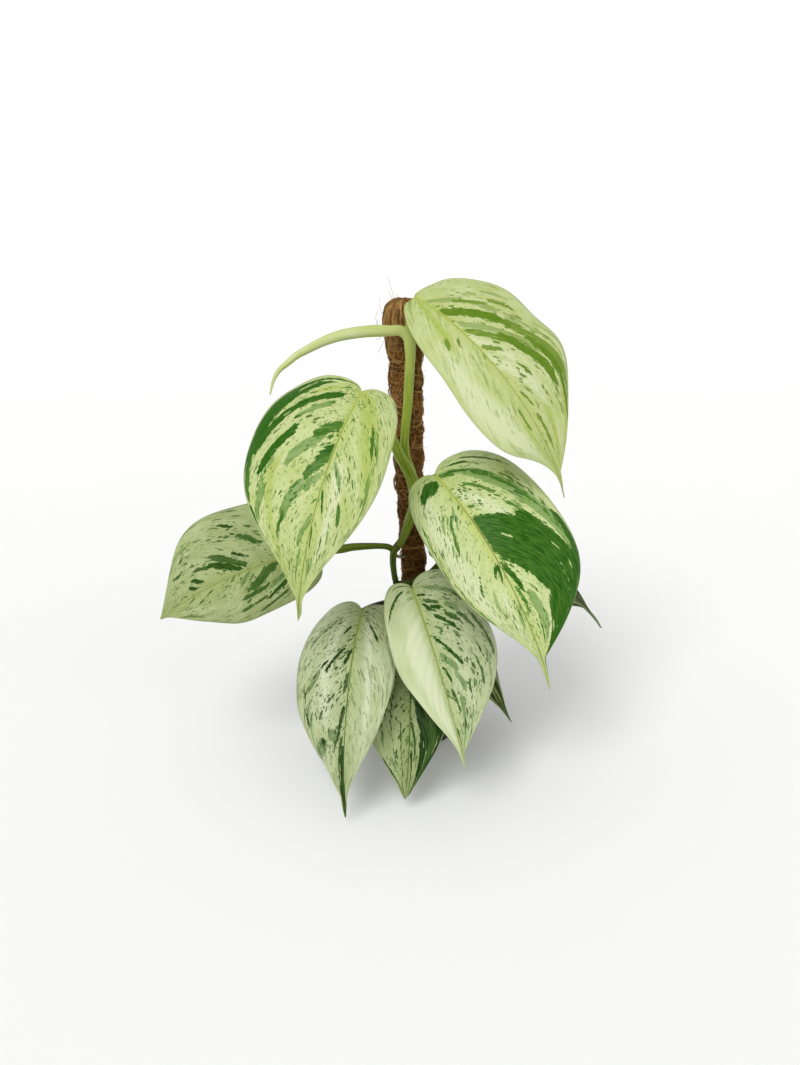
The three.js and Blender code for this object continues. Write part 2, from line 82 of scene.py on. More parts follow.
STEM = dict(
    route=[(-8, -14, 50), (-9, -14, 72), (-10.5, -15, 94), (-11.9, -15.5, 113), (-13.2, -15.5, 121),
           (-13.9, -15.5, 129), (-13.2, -15.5, 136.5), (-8.8, -15.5, 143), (-5.4, -15.5, 151),
           (-2.8, -15.5, 160), (-0.6, -15.5, 169), (0, -15.5, 178)],
    radii=[3.0, 3.0, 2.8, 2.5, 2.1, 1.8, 1.9, 2.2, 2.6, 3.1, 3.2, 3.8],
)
STALKS = {
    "leaf_top_right": dict(
        route=[(0, -15.5, 177), (-2.4, -15.8, 189), (-6.2, -16, 202), (-6.3, -16, 216), (-5, -15.8, 230),
               (-4.3, -15.6, 241), (-3.5, -15.6, 258), (-3.1, -16, 270), (-3.2, -15.6, 284)],
        radii=[3.4, 2.9, 2.75, 2.9, 3.0, 3.0, 2.3], from_below=True),
    "leaf_upper_left": dict(
        route=[(0, -16.5, 177), (-3, -17.8, 189), (-8.8, -20.5, 201), (-13, -26, 212), (-17, -34, 223),
               (-22.5, -43, 236)],
        radii=[3.8, 3.6, 3.2, 2.8, 2.4]),
    "leaf_middle_right": dict(
        route=[(-4, -15.8, 156), (-1, -23, 168), (4, -31, 181)], radii=[3.1, 2.8, 2.4]),
    "leaf_far_left": dict(
        route=[(-13.2, -15.5, 136.5), (-16.5, -16.3, 139.6), (-22, -17.5, 140.9), (-31, -19.5, 141.6),
               (-40, -22, 142), (-47, -23.5, 141.3)],
        radii=[2.0, 1.9, 2.3, 2.7, 2.9, 2.4]),
    "leaf_lower_front": dict(
        route=[(-10.6, -15, 96), (-10, -24, 108), (-7, -36, 118)], radii=[2.2, 2.5, 2.3]),
    "leaf_lower_left": dict(
        route=[(-9, -14, 75), (-16, -17, 89), (-25, -26, 100)], radii=[2.8, 2.7, 2.3]),
    "leaf_lowest": dict(
        route=[(-9, -14, 64), (-8, -20, 72), (-6, -28, 77)], radii=[2.8, 2.6, 2.2]),
    "leaf_back_right": dict(
        route=[(-12, -15.5, 114), (-4, -17.5, 115), (8, -17, 120), (18, -9, 127), (22, 2, 129)],
        radii=[1.8, 2.1, 2.2]),
    "leaf_lower_right": dict(
        route=[(-9.8, -14.5, 84), (0, -19, 88), (13, -19, 97), (23, -18, 107)], radii=[2.4, 2.4, 2.2]),
}
STEM_NODES = [22, 46, 66, 91, 110]
NEW_LEAF = dict(
    route=[(-3.2, -15.9, 253), (-3.4, -15.9, 266), (-4.4, -16.2, 273.8), (-8.6, -16.9, 278.1),
           (-16, -18.5, 278.6), (-27, -21, 279.0), (-36, -23, 278.4), (-45, -25, 277),
           (-54, -27, 274.2), (-62, -30, 270.8), (-69, -32, 267.2), (-75, -34, 262.7),
           (-80, -36, 258.5), (-83, -38, 253), (-85, -40, 245.5)],
    radii=[2.5, 3.1, 3.55, 3.35, 3.15, 3.3, 3.2, 3.1, 2.8, 2.5, 2.2, 1.9, 1.5, 1.0, 0.4],
)
AERIAL_ROOTS = [
    [(-13, -15.5, 134), (-10, -11.5, 131), (-6.2, -7.2, 129)],
    [(-8.8, -15.5, 144), (-8.5, -11.5, 142), (-6.6, -7.4, 139)],
    [(-2.8, -15.5, 160), (0.5, -12.5, 158), (1.2, -8.6, 156)],
    [(0, -15.5, 176), (4.4, -13.5, 174), (4.4, -8, 171.5)],
    [(-12, -15.5, 112), (-10, -11.5, 110), (-5.6, -6.8, 107)],
]

# Markings of each leaf, by half and tone. A patch is a stroke from one side vein (0 notch, 100 tip,
# below 0 in the lobe) and a place along it (0 midrib, 100 margin) to another vein and place, with
# half its breadth in millimetres.
MARKINGS = {
    "leaf_top_right": {
        "left mid": [
            (22, 42, 20, 50, 1.5), (31, 22, 30, 28, 1.1), (62, 20, 66, 24, 1.3), (74, 30, 78, 34, 1.2)],
        "left sage": [(38, 25, 43, 33, 1.6)],
        "left lime": [(64, 30, 84, 85, 3.4), (0, 10, 22, 35, 5.0)],
        "left milk": [(20, 75, 55, 60, 6.0)],
        "right dark": [
            (23, 6, 27, 46, 3.7), (38, 36, 43, 66, 3.9), (34, 64, 40, 94, 3.5), (49, 28, 50, 31, 1.6)],
        "right mid": [
            (17, 28, 18, 50, 1.7), (15, 62, 15, 74, 1.7), (28, 50, 33, 92, 4.0), (36, 8, 39, 36, 2.3),
            (44, 6, 44, 18, 1.5), (53, 44, 54, 50, 1.0), (70, 16, 75, 22, 2.6), (62, 8, 64, 12, 1.3)],
        "right sage": [(32, 8, 36, 60, 2.4), (12, 6, 20, 50, 2.6), (22, 62, 26, 90, 1.8)],
        "right lime": [(42, 84, 58, 96, 4.2), (62, 40, 86, 70, 5.0)],
        "right milk": [(40, 2, 46, 22, 3.2), (50, 3, 56, 34, 4.6), (32, 4, 33, 22, 1.6)],
    },
    "leaf_upper_left": {
        "left dark": [
            (-20, 70, -8, 90, 3.0), (-8, 90, 16, 95, 3.8), (-4, 72, 14, 92, 3.6), (10, 32, 12, 62, 3.0),
            (12, 62, 18, 84, 3.4), (26, 52, 30, 73, 3.0), (40, 2, 42, 10, 2.6), (31, 95, 44, 98, 1.3)],
        "left mid": [
            (16, 93, 26, 95, 2.6), (29, 6, 31, 22, 3.2), (44, 4, 47, 17, 2.8), (55, 46, 56, 62, 1.6)],
        "left sage": [
            (16, 30, 19, 52, 2.0), (33, 20, 37, 40, 3.4), (51, 8, 52, 16, 2.2), (51, 26, 54, 43, 3.2),
            (39, 72, 37, 92, 2.2), (33, 62, 35, 80, 1.6), (66, 6, 69, 18, 2.2), (74, 16, 78, 34, 1.6)],
        "left lime": [(-2, 20, 4, 55, 4.0), (36, 60, 60, 75, 4.0)],
        "right dark": [(56, 5, 59, 14, 1.1), (69, 4, 73, 10, 0.9), (62, 39, 63, 44, 1.1)],
        "right mid": [(48, 48, 48, 55, 1.8), (14, 56, 19, 64, 1.5)],
        "right sage": [(44, 14, 45, 28, 1.7), (12, 70, 16, 76, 1.3), (25, 79, 26, 92, 2.0)],
        "right lime": [(0, 15, 22, 60, 9.0)],
        "right milk": [(45, 25, 62, 45, 4.5)],
    },
    "leaf_middle_right": {
        "left dark": [
            (7, 24, 1, 52, 3.9), (43, 45, 43, 59, 0.9), (53, 12, 53, 18, 1.2), (55, 6, 57, 10, 1.4)],
        "left mid": [(25, 36, 29, 48, 1.7), (-1, 86, 12, 96, 1.2), (20, 92, 34, 96, 1.0)],
        "left sage": [(19, 42, 20, 51, 1.3), (27, 20, 29, 28, 1.3)],
        "left lime": [(20, 2, 50, 4, 3.0)],
        "left milk": [(10, 60, 40, 70, 7.0), (60, 30, 72, 60, 4.5)],
        "right dark": [
            (40, 12, 36, 60, 7.4), (47, 18, 50, 60, 8.0), (34, 62, 36, 90, 8.2), (46, 50, 50, 94, 8.4),
            (58, 62, 62, 95, 6.6), (16, 95, 60, 99, 3.8), (5, 24, 8, 40, 1.4), (-7, 74, -4, 86, 1.9),
            (-2, 48, -1, 60, 1.6), (56, 4, 61, 11, 2.0)],
        "right mid": [
            (3, 5, 7, 22, 3.0), (10, 46, 13, 58, 1.4), (17, 24, 21, 40, 1.5), (5, 30, 10, 58, 1.6),
            (13, 60, 21, 88, 1.9), (9, 70, 16, 95, 1.5), (26, 47, 27, 56, 1.5), (64, 6, 69, 10, 1.4),
            (70, 28, 72, 40, 1.4)],
        "right sage": [(1, 14, 12, 50, 4.2), (12, 50, 24, 92, 6.6), (64, 24, 67, 44, 4.0)],
        "right milk": [(22, 6, 30, 30, 4.0)],
    },
    "leaf_far_left": {
        "left dark": [
            (55, 8, 58, 28, 1.9), (33, 69, 32, 79, 1.0), (46, 20, 48, 30, 1.0), (69, 16, 68, 30, 1.1),
            (74, 12, 73, 22, 1.0)],
        "left mid": [
            (51, 12, 54, 38, 1.9), (60, 31, 61, 38, 1.5), (36, 36, 37, 49, 1.8), (40, 55, 41, 62, 0.9),
            (62, 62, 60, 74, 1.0)],
        "right dark": [(22, 46, 26, 62, 1.8)],
        "right mid": [
            (38, 12, 42, 28, 3.4), (35, 42, 43, 46, 1.6), (16, 70, 21, 83, 1.6), (30, 62, 38, 70, 1.2)],
        "right sage": [(26, 30, 30, 42, 2.2)],
    },
    "leaf_lower_left": {
        "left dark": [
            (6, 50, 8, 62, 0.8), (0, 90, 5, 94, 1.0), (18, 16, 20, 22, 1.3), (30, 17, 35, 36, 1.5),
            (34, 4, 38, 9, 1.5), (58, 6, 66, 16, 1.1), (30, 78, 40, 82, 1.1), (60, 50, 54, 62, 0.9),
            (78, 5, 100, 12, 5.5), (94, 0, 78, 80, 8.0)],
        "left mid": [
            (2, 30, 3, 40, 0.8), (46, 4, 51, 5, 1.5), (60, 5, 66, 16, 1.6), (70, 10, 80, 30, 2.2)],
        "left sage": [(8, 54, 10, 78, 1.6), (66, 20, 60, 36, 2.0), (58, 56, 50, 80, 2.2)],
        "left milk": [(16, 35, 50, 40, 4.0)],
        "right dark": [(94, 0, 78, 80, 7.0), (12, 36, 14, 52, 1.2), (54, 86, 62, 90, 0.9)],
        "right mid": [(72, 74, 80, 80, 0.9), (2, 20, 3, 30, 1.0)],
        "right sage": [(86, 8, 96, 20, 1.2), (30, 36, 33, 50, 1.2)],
        "right lime": [(-2, 2, 20, 4, 3.0)],
        "right milk": [(15, 30, 45, 55, 3.0)],
    },
    "leaf_lower_front": {
        "left dark": [(-2, 56, -3, 84, 1.4)],
        "left mid": [(-12, 40, -14, 76, 1.7)],
        "left sage": [(10, 16, 8, 30, 1.0)],
        "left milk": [(30, 40, 80, 50, 7.0)],
        "right dark": [
            (19, 10, 22, 14, 1.4), (21, 20, 21, 31, 1.1), (27, 18, 31, 39, 1.2), (10, 8, 11, 22, 1.1),
            (40, 6, 44, 16, 1.1), (45, 18, 48, 32, 1.2), (56, 6, 60, 13, 1.1), (33, 62, 36, 72, 1.0)],
        "right mid": [
            (16, 16, 18, 30, 1.5), (25, 34, 26, 45, 1.6), (22, 50, 24, 66, 1.2), (54, 44, 58, 52, 1.2),
            (66, 12, 71, 24, 1.4), (40, 58, 44, 74, 1.3), (84, 8, 93, 30, 1.9), (18, 72, 22, 90, 1.9)],
        "right sage": [
            (5, 40, 10, 69, 2.4), (50, 10, 52, 22, 2.0), (55, 22, 58, 36, 1.7), (66, 30, 80, 50, 2.6),
            (30, 76, 36, 92, 1.6), (60, 62, 66, 80, 1.4)],
    },
    "leaf_lowest": {
        "left dark": [(44, 98, 80, 70, 1.0), (80, 50, 96, 60, 2.0)],
        "left mid": [(44, 30, 66, 50, 0.8), (60, 20, 80, 30, 0.8)],
        "left sage": [(10, 30, 16, 80, 2.4)],
        "right dark": [
            (36, 10, 40, 40, 5.6), (54, 34, 62, 62, 5.2), (30, 30, 36, 70, 5.2), (62, 70, 86, 96, 2.0),
            (30, 96, 60, 98, 1.8), (76, 12, 84, 40, 1.3)],
        "right mid": [(46, 14, 52, 50, 4.6), (42, 60, 54, 90, 5.4), (64, 8, 70, 26, 1.5)],
    },
    "leaf_back_right": {
        "left dark": [(10, 10, 22, 90, 8.0), (44, 8, 48, 90, 11.0)],
        "left mid": [(74, 10, 76, 70, 7.0), (95, 0, 80, 80, 9.0)],
        "right dark": [(16, 12, 24, 90, 9.0), (50, 6, 55, 90, 12.0)],
        "right mid": [(76, 5, 80, 80, 7.0), (96, 0, 84, 80, 9.0)],
    },
    "leaf_lower_right": {
        "left dark": [(65, 5, 72, 90, 5.0)],
        "left mid": [(20, 10, 30, 90, 6.0), (92, 0, 80, 90, 6.0)],
        "right dark": [(20, 5, 30, 90, 6.0), (60, 5, 66, 90, 6.0)],
        "right mid": [(92, 0, 80, 90, 6.0)],
    },
}

# The tones of each leaf as they look in daylight, and how much of it is flecked, blotched and
# peppered. The rib tone shows beside the midrib. The line tone darkens its groove: partly the
# midrib's own darker green, partly painted shade in the groove.
Look = namedtuple("Look", "cream lime green dark rib line flecks blotches pepper")
LOOKS = {
    "leaf_top_right": Look(
        (204, 214, 150), (176, 192, 88), (126, 154, 54), (90, 128, 18), (186, 198, 96), (146, 162, 70),
        0.30, 0.30, 0.42),
    "leaf_upper_left": Look(
        (208, 218, 150), (182, 198, 98), (76, 128, 36), (34, 92, 0), (186, 200, 100), (128, 148, 56),
        0.38, 0.16, 0.85),
    "leaf_middle_right": Look(
        (212, 223, 158), (192, 206, 106), (98, 146, 54), (30, 86, 0), (192, 204, 106), (118, 122, 56),
        0.40, 0.16, 0.85),
    "leaf_far_left": Look(
        (176, 189, 130), (156, 172, 90), (66, 106, 40), (40, 76, 8), (168, 182, 96), (142, 156, 84),
        0.52, 0.12, 0.60),
    "leaf_lower_left": Look(
        (194, 206, 160), (160, 176, 100), (74, 100, 46), (20, 54, 10), (160, 178, 86), (62, 88, 30),
        0.75, 0.12, 0.90),
    "leaf_lower_front": Look(
        (206, 216, 168), (168, 184, 106), (88, 126, 62), (34, 76, 12), (168, 184, 90), (126, 142, 56),
        0.62, 0.14, 0.72),
    "leaf_lowest": Look(
        (178, 192, 136), (130, 154, 76), (70, 106, 38), (12, 44, 0), (94, 122, 52), (34, 60, 12),
        0.70, 0.22, 0.85),
    "leaf_back_right": Look(
        (146, 158, 106), (104, 120, 56), (86, 88, 40), (26, 50, 8), (110, 124, 60), (64, 82, 32),
        0.60, 0.40, 0.60),
    "leaf_lower_right": Look(
        (146, 160, 106), (114, 130, 62), (86, 88, 40), (26, 50, 8), (110, 124, 60), (64, 82, 32),
        0.80, 0.40, 0.60),
}
# How far the small flecks of a half are left out, from 0 to 1.
PLAIN_HALVES = {
    ("leaf_lower_left", "right"): 0.4,
    ("leaf_top_right", "left"): 0.45,
    ("leaf_lower_front", "left"): 1.0,
}
# A side vein ends nearer the tip than it starts by the sweep. The span is the width of all the side
# veins as a share of the blade's length, and the gap is between two of them, in millimetres.
VEIN_SWEEP = 0.45
VEIN_SPAN = 0.75
VEIN_GAP = 6.6
# The milk patches are partly white variegation and partly a painted highlight.
TONES = ("dark", "mid", "sage", "lime", "milk")
SIDES = ("left", "right")
DAYLIGHT = 0.86

# The photograph's camera: its place in metres, how far down it looks in degrees, and its focal
# length in pixels of a picture that many pixels high.
CAMERA = dict(place=(-0.00942, -0.66281, 0.41091), down=22, focal_pixels=1100, picture_height=1065)


# Small helpers for shapes

def unit(vectors):
    return vectors / np.maximum(np.linalg.norm(vectors, axis=-1, keepdims=True), 1e-9)


def turned(vector, axis, angle):
    """A vector turned about a unit axis."""
    return (vector * math.cos(angle) + np.cross(axis, vector) * math.sin(angle)
            + axis * np.dot(axis, vector) * (1 - math.cos(angle)))


def smoothstep(low, high, value):
    """0 at low, 1 at high and a smooth change between them."""
    share = np.clip((value - low) / (high - low), 0, 1)
    return share * share * (3 - 2 * share)


def bell(distance, width):
    """1 at no distance, falling off to 0 past the width."""
    return np.exp(-(distance / width) ** 2)


def waves(x, y, length, seed, count=9):
    """Gentle uneven ground: a sum of slow waves about this many millimetres long."""
    pick = np.random.default_rng(seed)
    total = np.zeros_like(x, dtype=float)
    for _ in range(count):
        turn, phase = pick.uniform(0, CIRCLE, 2)
        stretch = pick.uniform(0.6, 1.6)
        across = x * math.cos(turn) + y * math.sin(turn)
        total += np.sin(CIRCLE * across / (length * stretch) + phase)
    return total / math.sqrt(count)


def even_steps(dense, steps):
    """Points in equal steps along a path of close points, and how far along it each one is."""
    walked = np.concatenate([[0], np.cumsum(np.linalg.norm(np.diff(dense, axis=0), axis=1))])
    places = np.linspace(0, walked[-1], steps + 1)
    return np.column_stack([np.interp(places, walked, column) for column in dense.T]), places


def around(sides):
    """The angles of evenly spaced points round a circle."""
    return np.linspace(0, CIRCLE, sides, endpoint=False)


def on_ring(radius, angle, z, middle=0.0):
    """Points about an upright axis that is this far to the right."""
    return np.stack([middle + radius * np.cos(angle), radius * np.sin(angle), z * np.ones_like(angle)], -1)


def ring_faces(rows, sides, flip=False, capped=False):
    """Faces between rings of points that follow one another. The ends of a capped part meet in two
    points after the rings, and flip turns every face over."""
    faces = []
    for i in range(rows - 1):
        for k in range(sides):
            n = (k + 1) % sides
            faces.append([i * sides + k, i * sides + n, (i + 1) * sides + n, (i + 1) * sides + k])
    last, start, end = (rows - 1) * sides, rows * sides, rows * sides + 1
    for k in range(sides if capped else 0):
        n = (k + 1) % sides
        faces += [[start, n, k], [end, last + k, last + n]]
    return [face[:1] + face[:0:-1] for face in faces] if flip else faces


def placed(name, data):
    """A new object in the scene for a mesh, lamp or camera."""
    thing = bpy.data.objects.new(name, data)
    bpy.context.scene.collection.objects.link(thing)
    return thing


class Shape:
    """Points in millimetres, faces and fields, gathered from the parts of one piece."""

    def __init__(self):
        self.points, self.faces, self.fields, self.count = [], [], {}, 0

    def add(self, points, faces, **fields):
        self.points.append(np.asarray(points, dtype=float))
        self.faces.extend([[corner + self.count for corner in face] for face in faces])
        for key, values in fields.items():
            self.fields.setdefault(key, []).append(np.asarray(values, dtype=float))
        self.count += len(points)
        return self

    def piece(self, name, material, slot, replaces=(), smooth=True):
        """The mesh piece in metres, riding on the plant's one body."""
        mesh = bpy.data.meshes.new(name)
        mesh.from_pydata((np.concatenate(self.points) * MM).tolist(), [], self.faces)
        for key, parts in self.fields.items():
            values = np.concatenate(parts).astype(np.float32)
            kind, target = ("FLOAT_VECTOR", "vector") if values.ndim == 2 else ("FLOAT", "value")
            mesh.attributes.new(key, kind, "POINT").data.foreach_set(target, values.ravel())
        mesh.polygons.foreach_set("use_smooth", [smooth] * len(mesh.polygons))
        mesh.materials.append(material)
        mesh.update()
        piece = placed(name, mesh)
        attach(piece, "root")
        if replaces:
            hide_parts(*replaces)
        return piece


# Node networks

def shade(tone):
    """A colour as it looks in the photograph's daylight, 0 to 255, as the light it reflects."""
    share = np.array(tone, dtype=float) / 255
    light = np.where(share <= 0.04045, share / 12.92, ((share + 0.055) / 1.055) ** 2.4)
    return tuple((DAYLIGHT * light).tolist()) + (1.0,)


def blend(first, second, share):
    """A tone between two."""
    return tuple((1 - share) * one + share * other for one, other in zip(first, second))


class Net:
    """The nodes of one material. Most calls add a node and give its output."""

    def __init__(self, name):
        self.material = bpy.data.materials.new(name)
        self.material.use_nodes = True
        self.tree = self.material.node_tree
        self.tree.nodes.clear()

    def node(self, kind, inputs, output=0, **settings):
        node = self.tree.nodes.new("ShaderNode" + kind)
        for key, value in settings.items():
            setattr(node, key, value)
        for key, value in inputs.items():
            if isinstance(value, bpy.types.NodeSocket):
                self.tree.links.new(value, node.inputs[key])
            else:
                node.inputs[key].default_value = value
        return node.outputs[output]

    def field(self, name, output="Vector"):
        return self.node("Attribute", {}, output, attribute_name=name)

    def place(self):
        """Where a point is in its piece, in metres."""
        return self.node("TexCoord", {}, "Object")

    def split(self, vector):
        return tuple(self.node("SeparateXYZ", {0: vector}).node.outputs)

    def math(self, kind, first, second=0.0):
        return self.node("Math", {0: first, 1: second}, operation=kind)

    def larger(self, first, second):
        return self.math("MAXIMUM", first, second)

    def add(self, first, *others):
        for other in others:
            first = self.math("ADD", first, other)
        return first

    def times(self, first, second):
        return self.math("MULTIPLY", first, second)

    def swing(self, noise, amount):
        """Noise as a swing about 0."""
        return self.times(self.add(noise, -0.5), amount)

    def stretch(self, vector, scale):
        return self.node("VectorMath", {0: vector, 1: scale}, operation="MULTIPLY")

    def shift(self, vector, offset):
        return self.node("VectorMath", {0: vector, 1: offset}, operation="ADD")

    def noise(self, vector, scale=1.0, detail=2.0, roughness=0.5, output=0):
        return self.node("TexNoise", {
            "Vector": vector, "Scale": scale, "Detail": detail, "Roughness": roughness}, output)

    def grain(self, vector, stretch, offset=None, detail=2.0, roughness=0.5):
        """Noise of a vector that is stretched and then shifted."""
        vector = self.stretch(vector, stretch)
        return self.noise(self.shift(vector, offset) if offset else vector, 1.0, detail, roughness)

    def step(self, value, low, high, to_low=0.0, to_high=1.0):
        return self.node("MapRange", {0: value, 1: low, 2: high, 3: to_low, 4: to_high},
                         interpolation_type="SMOOTHSTEP")

    def mix(self, share, first, second):
        """A colour between two, each either an output or a tone from 0 to 255."""
        first, second = [shade(one) if isinstance(one, tuple) else one for one in (first, second)]
        return self.node("Mix", {0: share, 6: first, 7: second}, 2, data_type="RGBA")

    def layer(self, colour, mask, share, tone):
        """The colour with a share of the tone over it where the mask is."""
        return self.mix(self.times(mask, share), colour, tone)

    def bump(self, height, distance, strength=1.0):
        return self.node("Bump", {"Height": height, "Distance": distance, "Strength": strength})

    def finish(self, **inputs):
        shader = self.node("BsdfPrincipled", {
            key.replace("_", " "): value for key, value in inputs.items()})
        output = self.tree.nodes.new("ShaderNodeOutputMaterial")
        self.tree.links.new(shader, output.inputs["Surface"])
        return self.material


# The skin of the leaves

class LeafNet(Net):
    """The net of one blade's skin, with the blade's fields and the noise that its layers share."""

    def __init__(self, name, look):
        super().__init__(name)
        self.milky = blend(look.cream, (240, 243, 216), 0.55)
        self.olive = blend(look.cream, look.green, 0.85)
        self.soft_green = blend(look.cream, look.green, 0.55)
        vein = self.vein = self.field("vein")
        self.flat = self.field("flat")
        self.dark, self.mid, self.sage = self.split(self.field("marks"))
        self.lime, self.milk, self.turn = self.split(self.field("washes"))
        self.from_rib, self.rib_reach, _ = self.split(self.field("rib"))
        self.share = self.field("share", "Fac")
        self.shown = self.math("SUBTRACT", 1.0, self.field("plain", "Fac"))

        self.torn = self.grain(vein, (0.42, 0.15, 1), detail=3)
        self.frayed = self.grain(vein, (2.0, 0.9, 1))
        streak = self.grain(vein, (1.7, 0.09, 1))
        lump = self.grain(vein, (0.60, 0.34, 1), (7, 3, 0), 3, 0.6)
        self.ragged = self.add(self.swing(self.torn, 1.1), self.swing(streak, 0.4),
                               self.swing(self.frayed, 0.9), self.swing(lump, 1.7))
        wobble = self.noise(self.stretch(vein, (0.8, 0.4, 1)), output="Color")
        wobble = self.stretch(self.shift(wobble, (-0.5, -0.5, -0.5)), (2.0, 3.0, 0))
        self.bent = self.shift(vein, wobble)
        self.drift = self.grain(self.flat, (0.04, 0.04, 1))
        self.crowd = self.grain(self.flat, (0.07, 0.07, 1), (5, 5, 5))

    def spots(self, offset, cell, keep, size=0.46):
        """Separate spots, one at most to a cell of this size in millimetres, and a tone for each.
        keep is the share of the cells that have one. They are larger where they crowd."""
        place = self.stretch(self.shift(self.bent, offset), (1 / cell[0], 1 / cell[1], 0))
        voronoi = self.node("TexVoronoi", {"Vector": place, "Scale": 1.0},
                            voronoi_dimensions="2D").node
        chance, tone, _ = self.split(voronoi.outputs["Color"])
        radius = self.node("MapRange", {0: chance, 1: 1 - keep, 2: 1.0, 3: -0.05, 4: size},
                           clamp=False)
        radius = self.add(radius, self.swing(self.crowd, 0.9))
        return self.step(self.math("SUBTRACT", radius, voronoi.outputs["Distance"]), 0.0, 0.07), tone


def pale_ground(net, look):
    """Cream with washes of lime and of milky white, and a faint soft green speckle. The milky washes are
    partly the leaf's white variegation and partly a painted highlight.
    """
    cloud = net.grain(net.vein, (0.16, 0.07, 1), (9, 4, 1), 4, 0.6)
    colour = net.mix(net.step(cloud, 0.35, 0.65), blend(look.cream, net.soft_green, 0.12),
                     blend(look.cream, net.milky, 0.35))
    smudge = net.swing(net.torn, 1.6)
    lime = net.larger(net.times(net.step(net.add(net.lime, smudge), -0.9, 1.3), 0.85),
                      net.times(net.step(net.from_rib, 11.0, 0.0), 0.45))
    lime = net.larger(lime, net.times(net.step(net.drift, 0.46, 0.70), 0.35))
    colour = net.mix(lime, colour, look.lime)
    # Milky white patches: partly the leaf's white variegation, partly a painted highlight of the leaf's
    # gloss.
    colour = net.layer(colour, net.step(net.add(net.milk, smudge), -0.7, 1.1), 0.85, net.milky)
    speckle = net.grain(net.vein, (1.5, 0.9, 1), None, 3, 0.65)
    return net.layer(colour, net.times(net.step(speckle, 0.50, 0.64), net.shown), 0.34, net.soft_green)


def flecked(net, look, colour):
    """Grey-green blotches, then dust, specks and flecks of green."""
    blotch, _ = net.spots((31, 7, 0), (5.2, 11.0), 0.55 * look.blotches)
    soft = net.step(net.add(net.sage, net.times(net.ragged, 0.8)), -0.02, 0.12)
    soft = net.larger(soft, net.times(blotch, net.step(net.frayed, 0.30, 0.46)))
    grey_green = net.mix(net.step(net.torn, 0.40, 0.62), blend(net.soft_green, (132, 160, 110), 0.5),
                         blend(look.cream, look.green, 0.82))
    colour = net.layer(colour, net.times(soft, net.shown), 0.84, grey_green)
    dust, _ = net.spots((41, 13, 0), (1.5, 1.8), 0.30 + 0.5 * look.pepper)
    colour = net.layer(colour, net.times(dust, net.shown), 0.25 + 0.40 * look.pepper, net.olive)
    speck, _ = net.spots((11, 3, 0), (1.8, 2.5), 0.50 * look.pepper, 0.40)
    colour = net.layer(colour, net.times(speck, net.shown), 0.85, blend(look.green, look.dark, 0.75))
    fleck, fleck_tone = net.spots((3, 17, 0), (2.3, 5.8), 0.60 * look.flecks, 0.40)
    fleck_colour = net.mix(net.step(fleck_tone, 0.35, 0.90), net.olive, look.dark)
    return net.layer(colour, net.times(fleck, net.shown), 0.90, fleck_colour)


def patched(net, look, colour):
    """The mid and dark green patches, with ragged edges, pale chips and scratches."""
    tonal = net.step(net.grain(net.vein, (0.9, 0.22, 1), (2, 2, 2), 4), 0.36, 0.62)
    green = net.mix(tonal, look.green, blend(look.green, look.dark, 0.7))
    deep = net.mix(net.times(tonal, 0.55), look.dark, blend(look.green, look.dark, 0.25))
    mid = net.step(net.add(net.mid, net.ragged), 0.0, 0.10)
    colour = net.layer(colour, mid, 0.95, green)
    chip, _ = net.spots((23, 29, 0), (2.5, 6.0), 0.14, 0.38)
    dark = net.times(net.step(net.add(net.dark, net.ragged), 0.0, 0.10),
                     net.math("SUBTRACT", 1.0, net.times(chip, 0.85)))
    colour = net.mix(dark, colour, deep)
    scratch = net.step(net.grain(net.vein, (2.4, 0.13, 1), (6, 1, 3), 3), 0.52, 0.66)
    scratched = net.times(scratch, net.larger(net.times(dark, 0.30), mid))
    return net.layer(colour, scratched, 0.40, net.soft_green)


def leaf_material(name, look):
    """Cream and lime leather with green patches, blotches and flecks that lie along the side veins,
    a pale rib with a groove in it, a pale rim and a dull underside."""
    net = LeafNet(name, look)
    colour = patched(net, look, flecked(net, look, pale_ground(net, look)))
    beat = net.math("PINGPONG", net.split(net.vein)[0], VEIN_GAP / 2)
    side_vein = net.times(net.step(beat, 0.34, 0.0), net.step(net.share, 0.95, 0.5))
    colour = net.layer(colour, side_vein, 0.08, look.lime)
    near_base = net.step(net.turn, 0.75, 0.10, 0.12, 0.85)
    colour = net.layer(colour, net.step(net.rib_reach, 1.1, 0.35), near_base, look.rib)
    # A thin darker line in the midrib's groove: partly the midrib's own colour, partly painted shade in
    # the groove.
    far_along = net.times(net.step(net.turn, 0.02, 0.45, 0.25, 0.85), net.step(net.turn, 0.98, 0.86))
    colour = net.layer(colour, net.step(net.from_rib, 0.42, 0.14), far_along, look.line)
    colour = net.layer(colour, net.step(net.share, 0.975, 1.0), 0.45, look.cream)
    colour = net.layer(colour, net.field("under", "Fac"), 0.55, (150, 168, 124))

    pebble = net.grain(net.flat, (1.1, 1.1, 1), detail=3)
    height = net.add(net.times(net.grain(net.vein, (2.2, 0.22, 1), detail=3), 0.6),
                     net.times(pebble, 0.4), net.times(side_vein, -0.5))
    rough = net.step(net.add(pebble, net.times(net.drift, 0.6)), 0.4, 1.2, 0.34, 0.48)
    return net.finish(
        Base_Color=colour, Roughness=rough, Specular_IOR_Level=0.10,
        Subsurface_Weight=0.05, Subsurface_Radius=(0.5, 0.9, 0.25), Subsurface_Scale=0.0012,
        Normal=net.bump(height, 0.00014, 0.8))


# Other materials

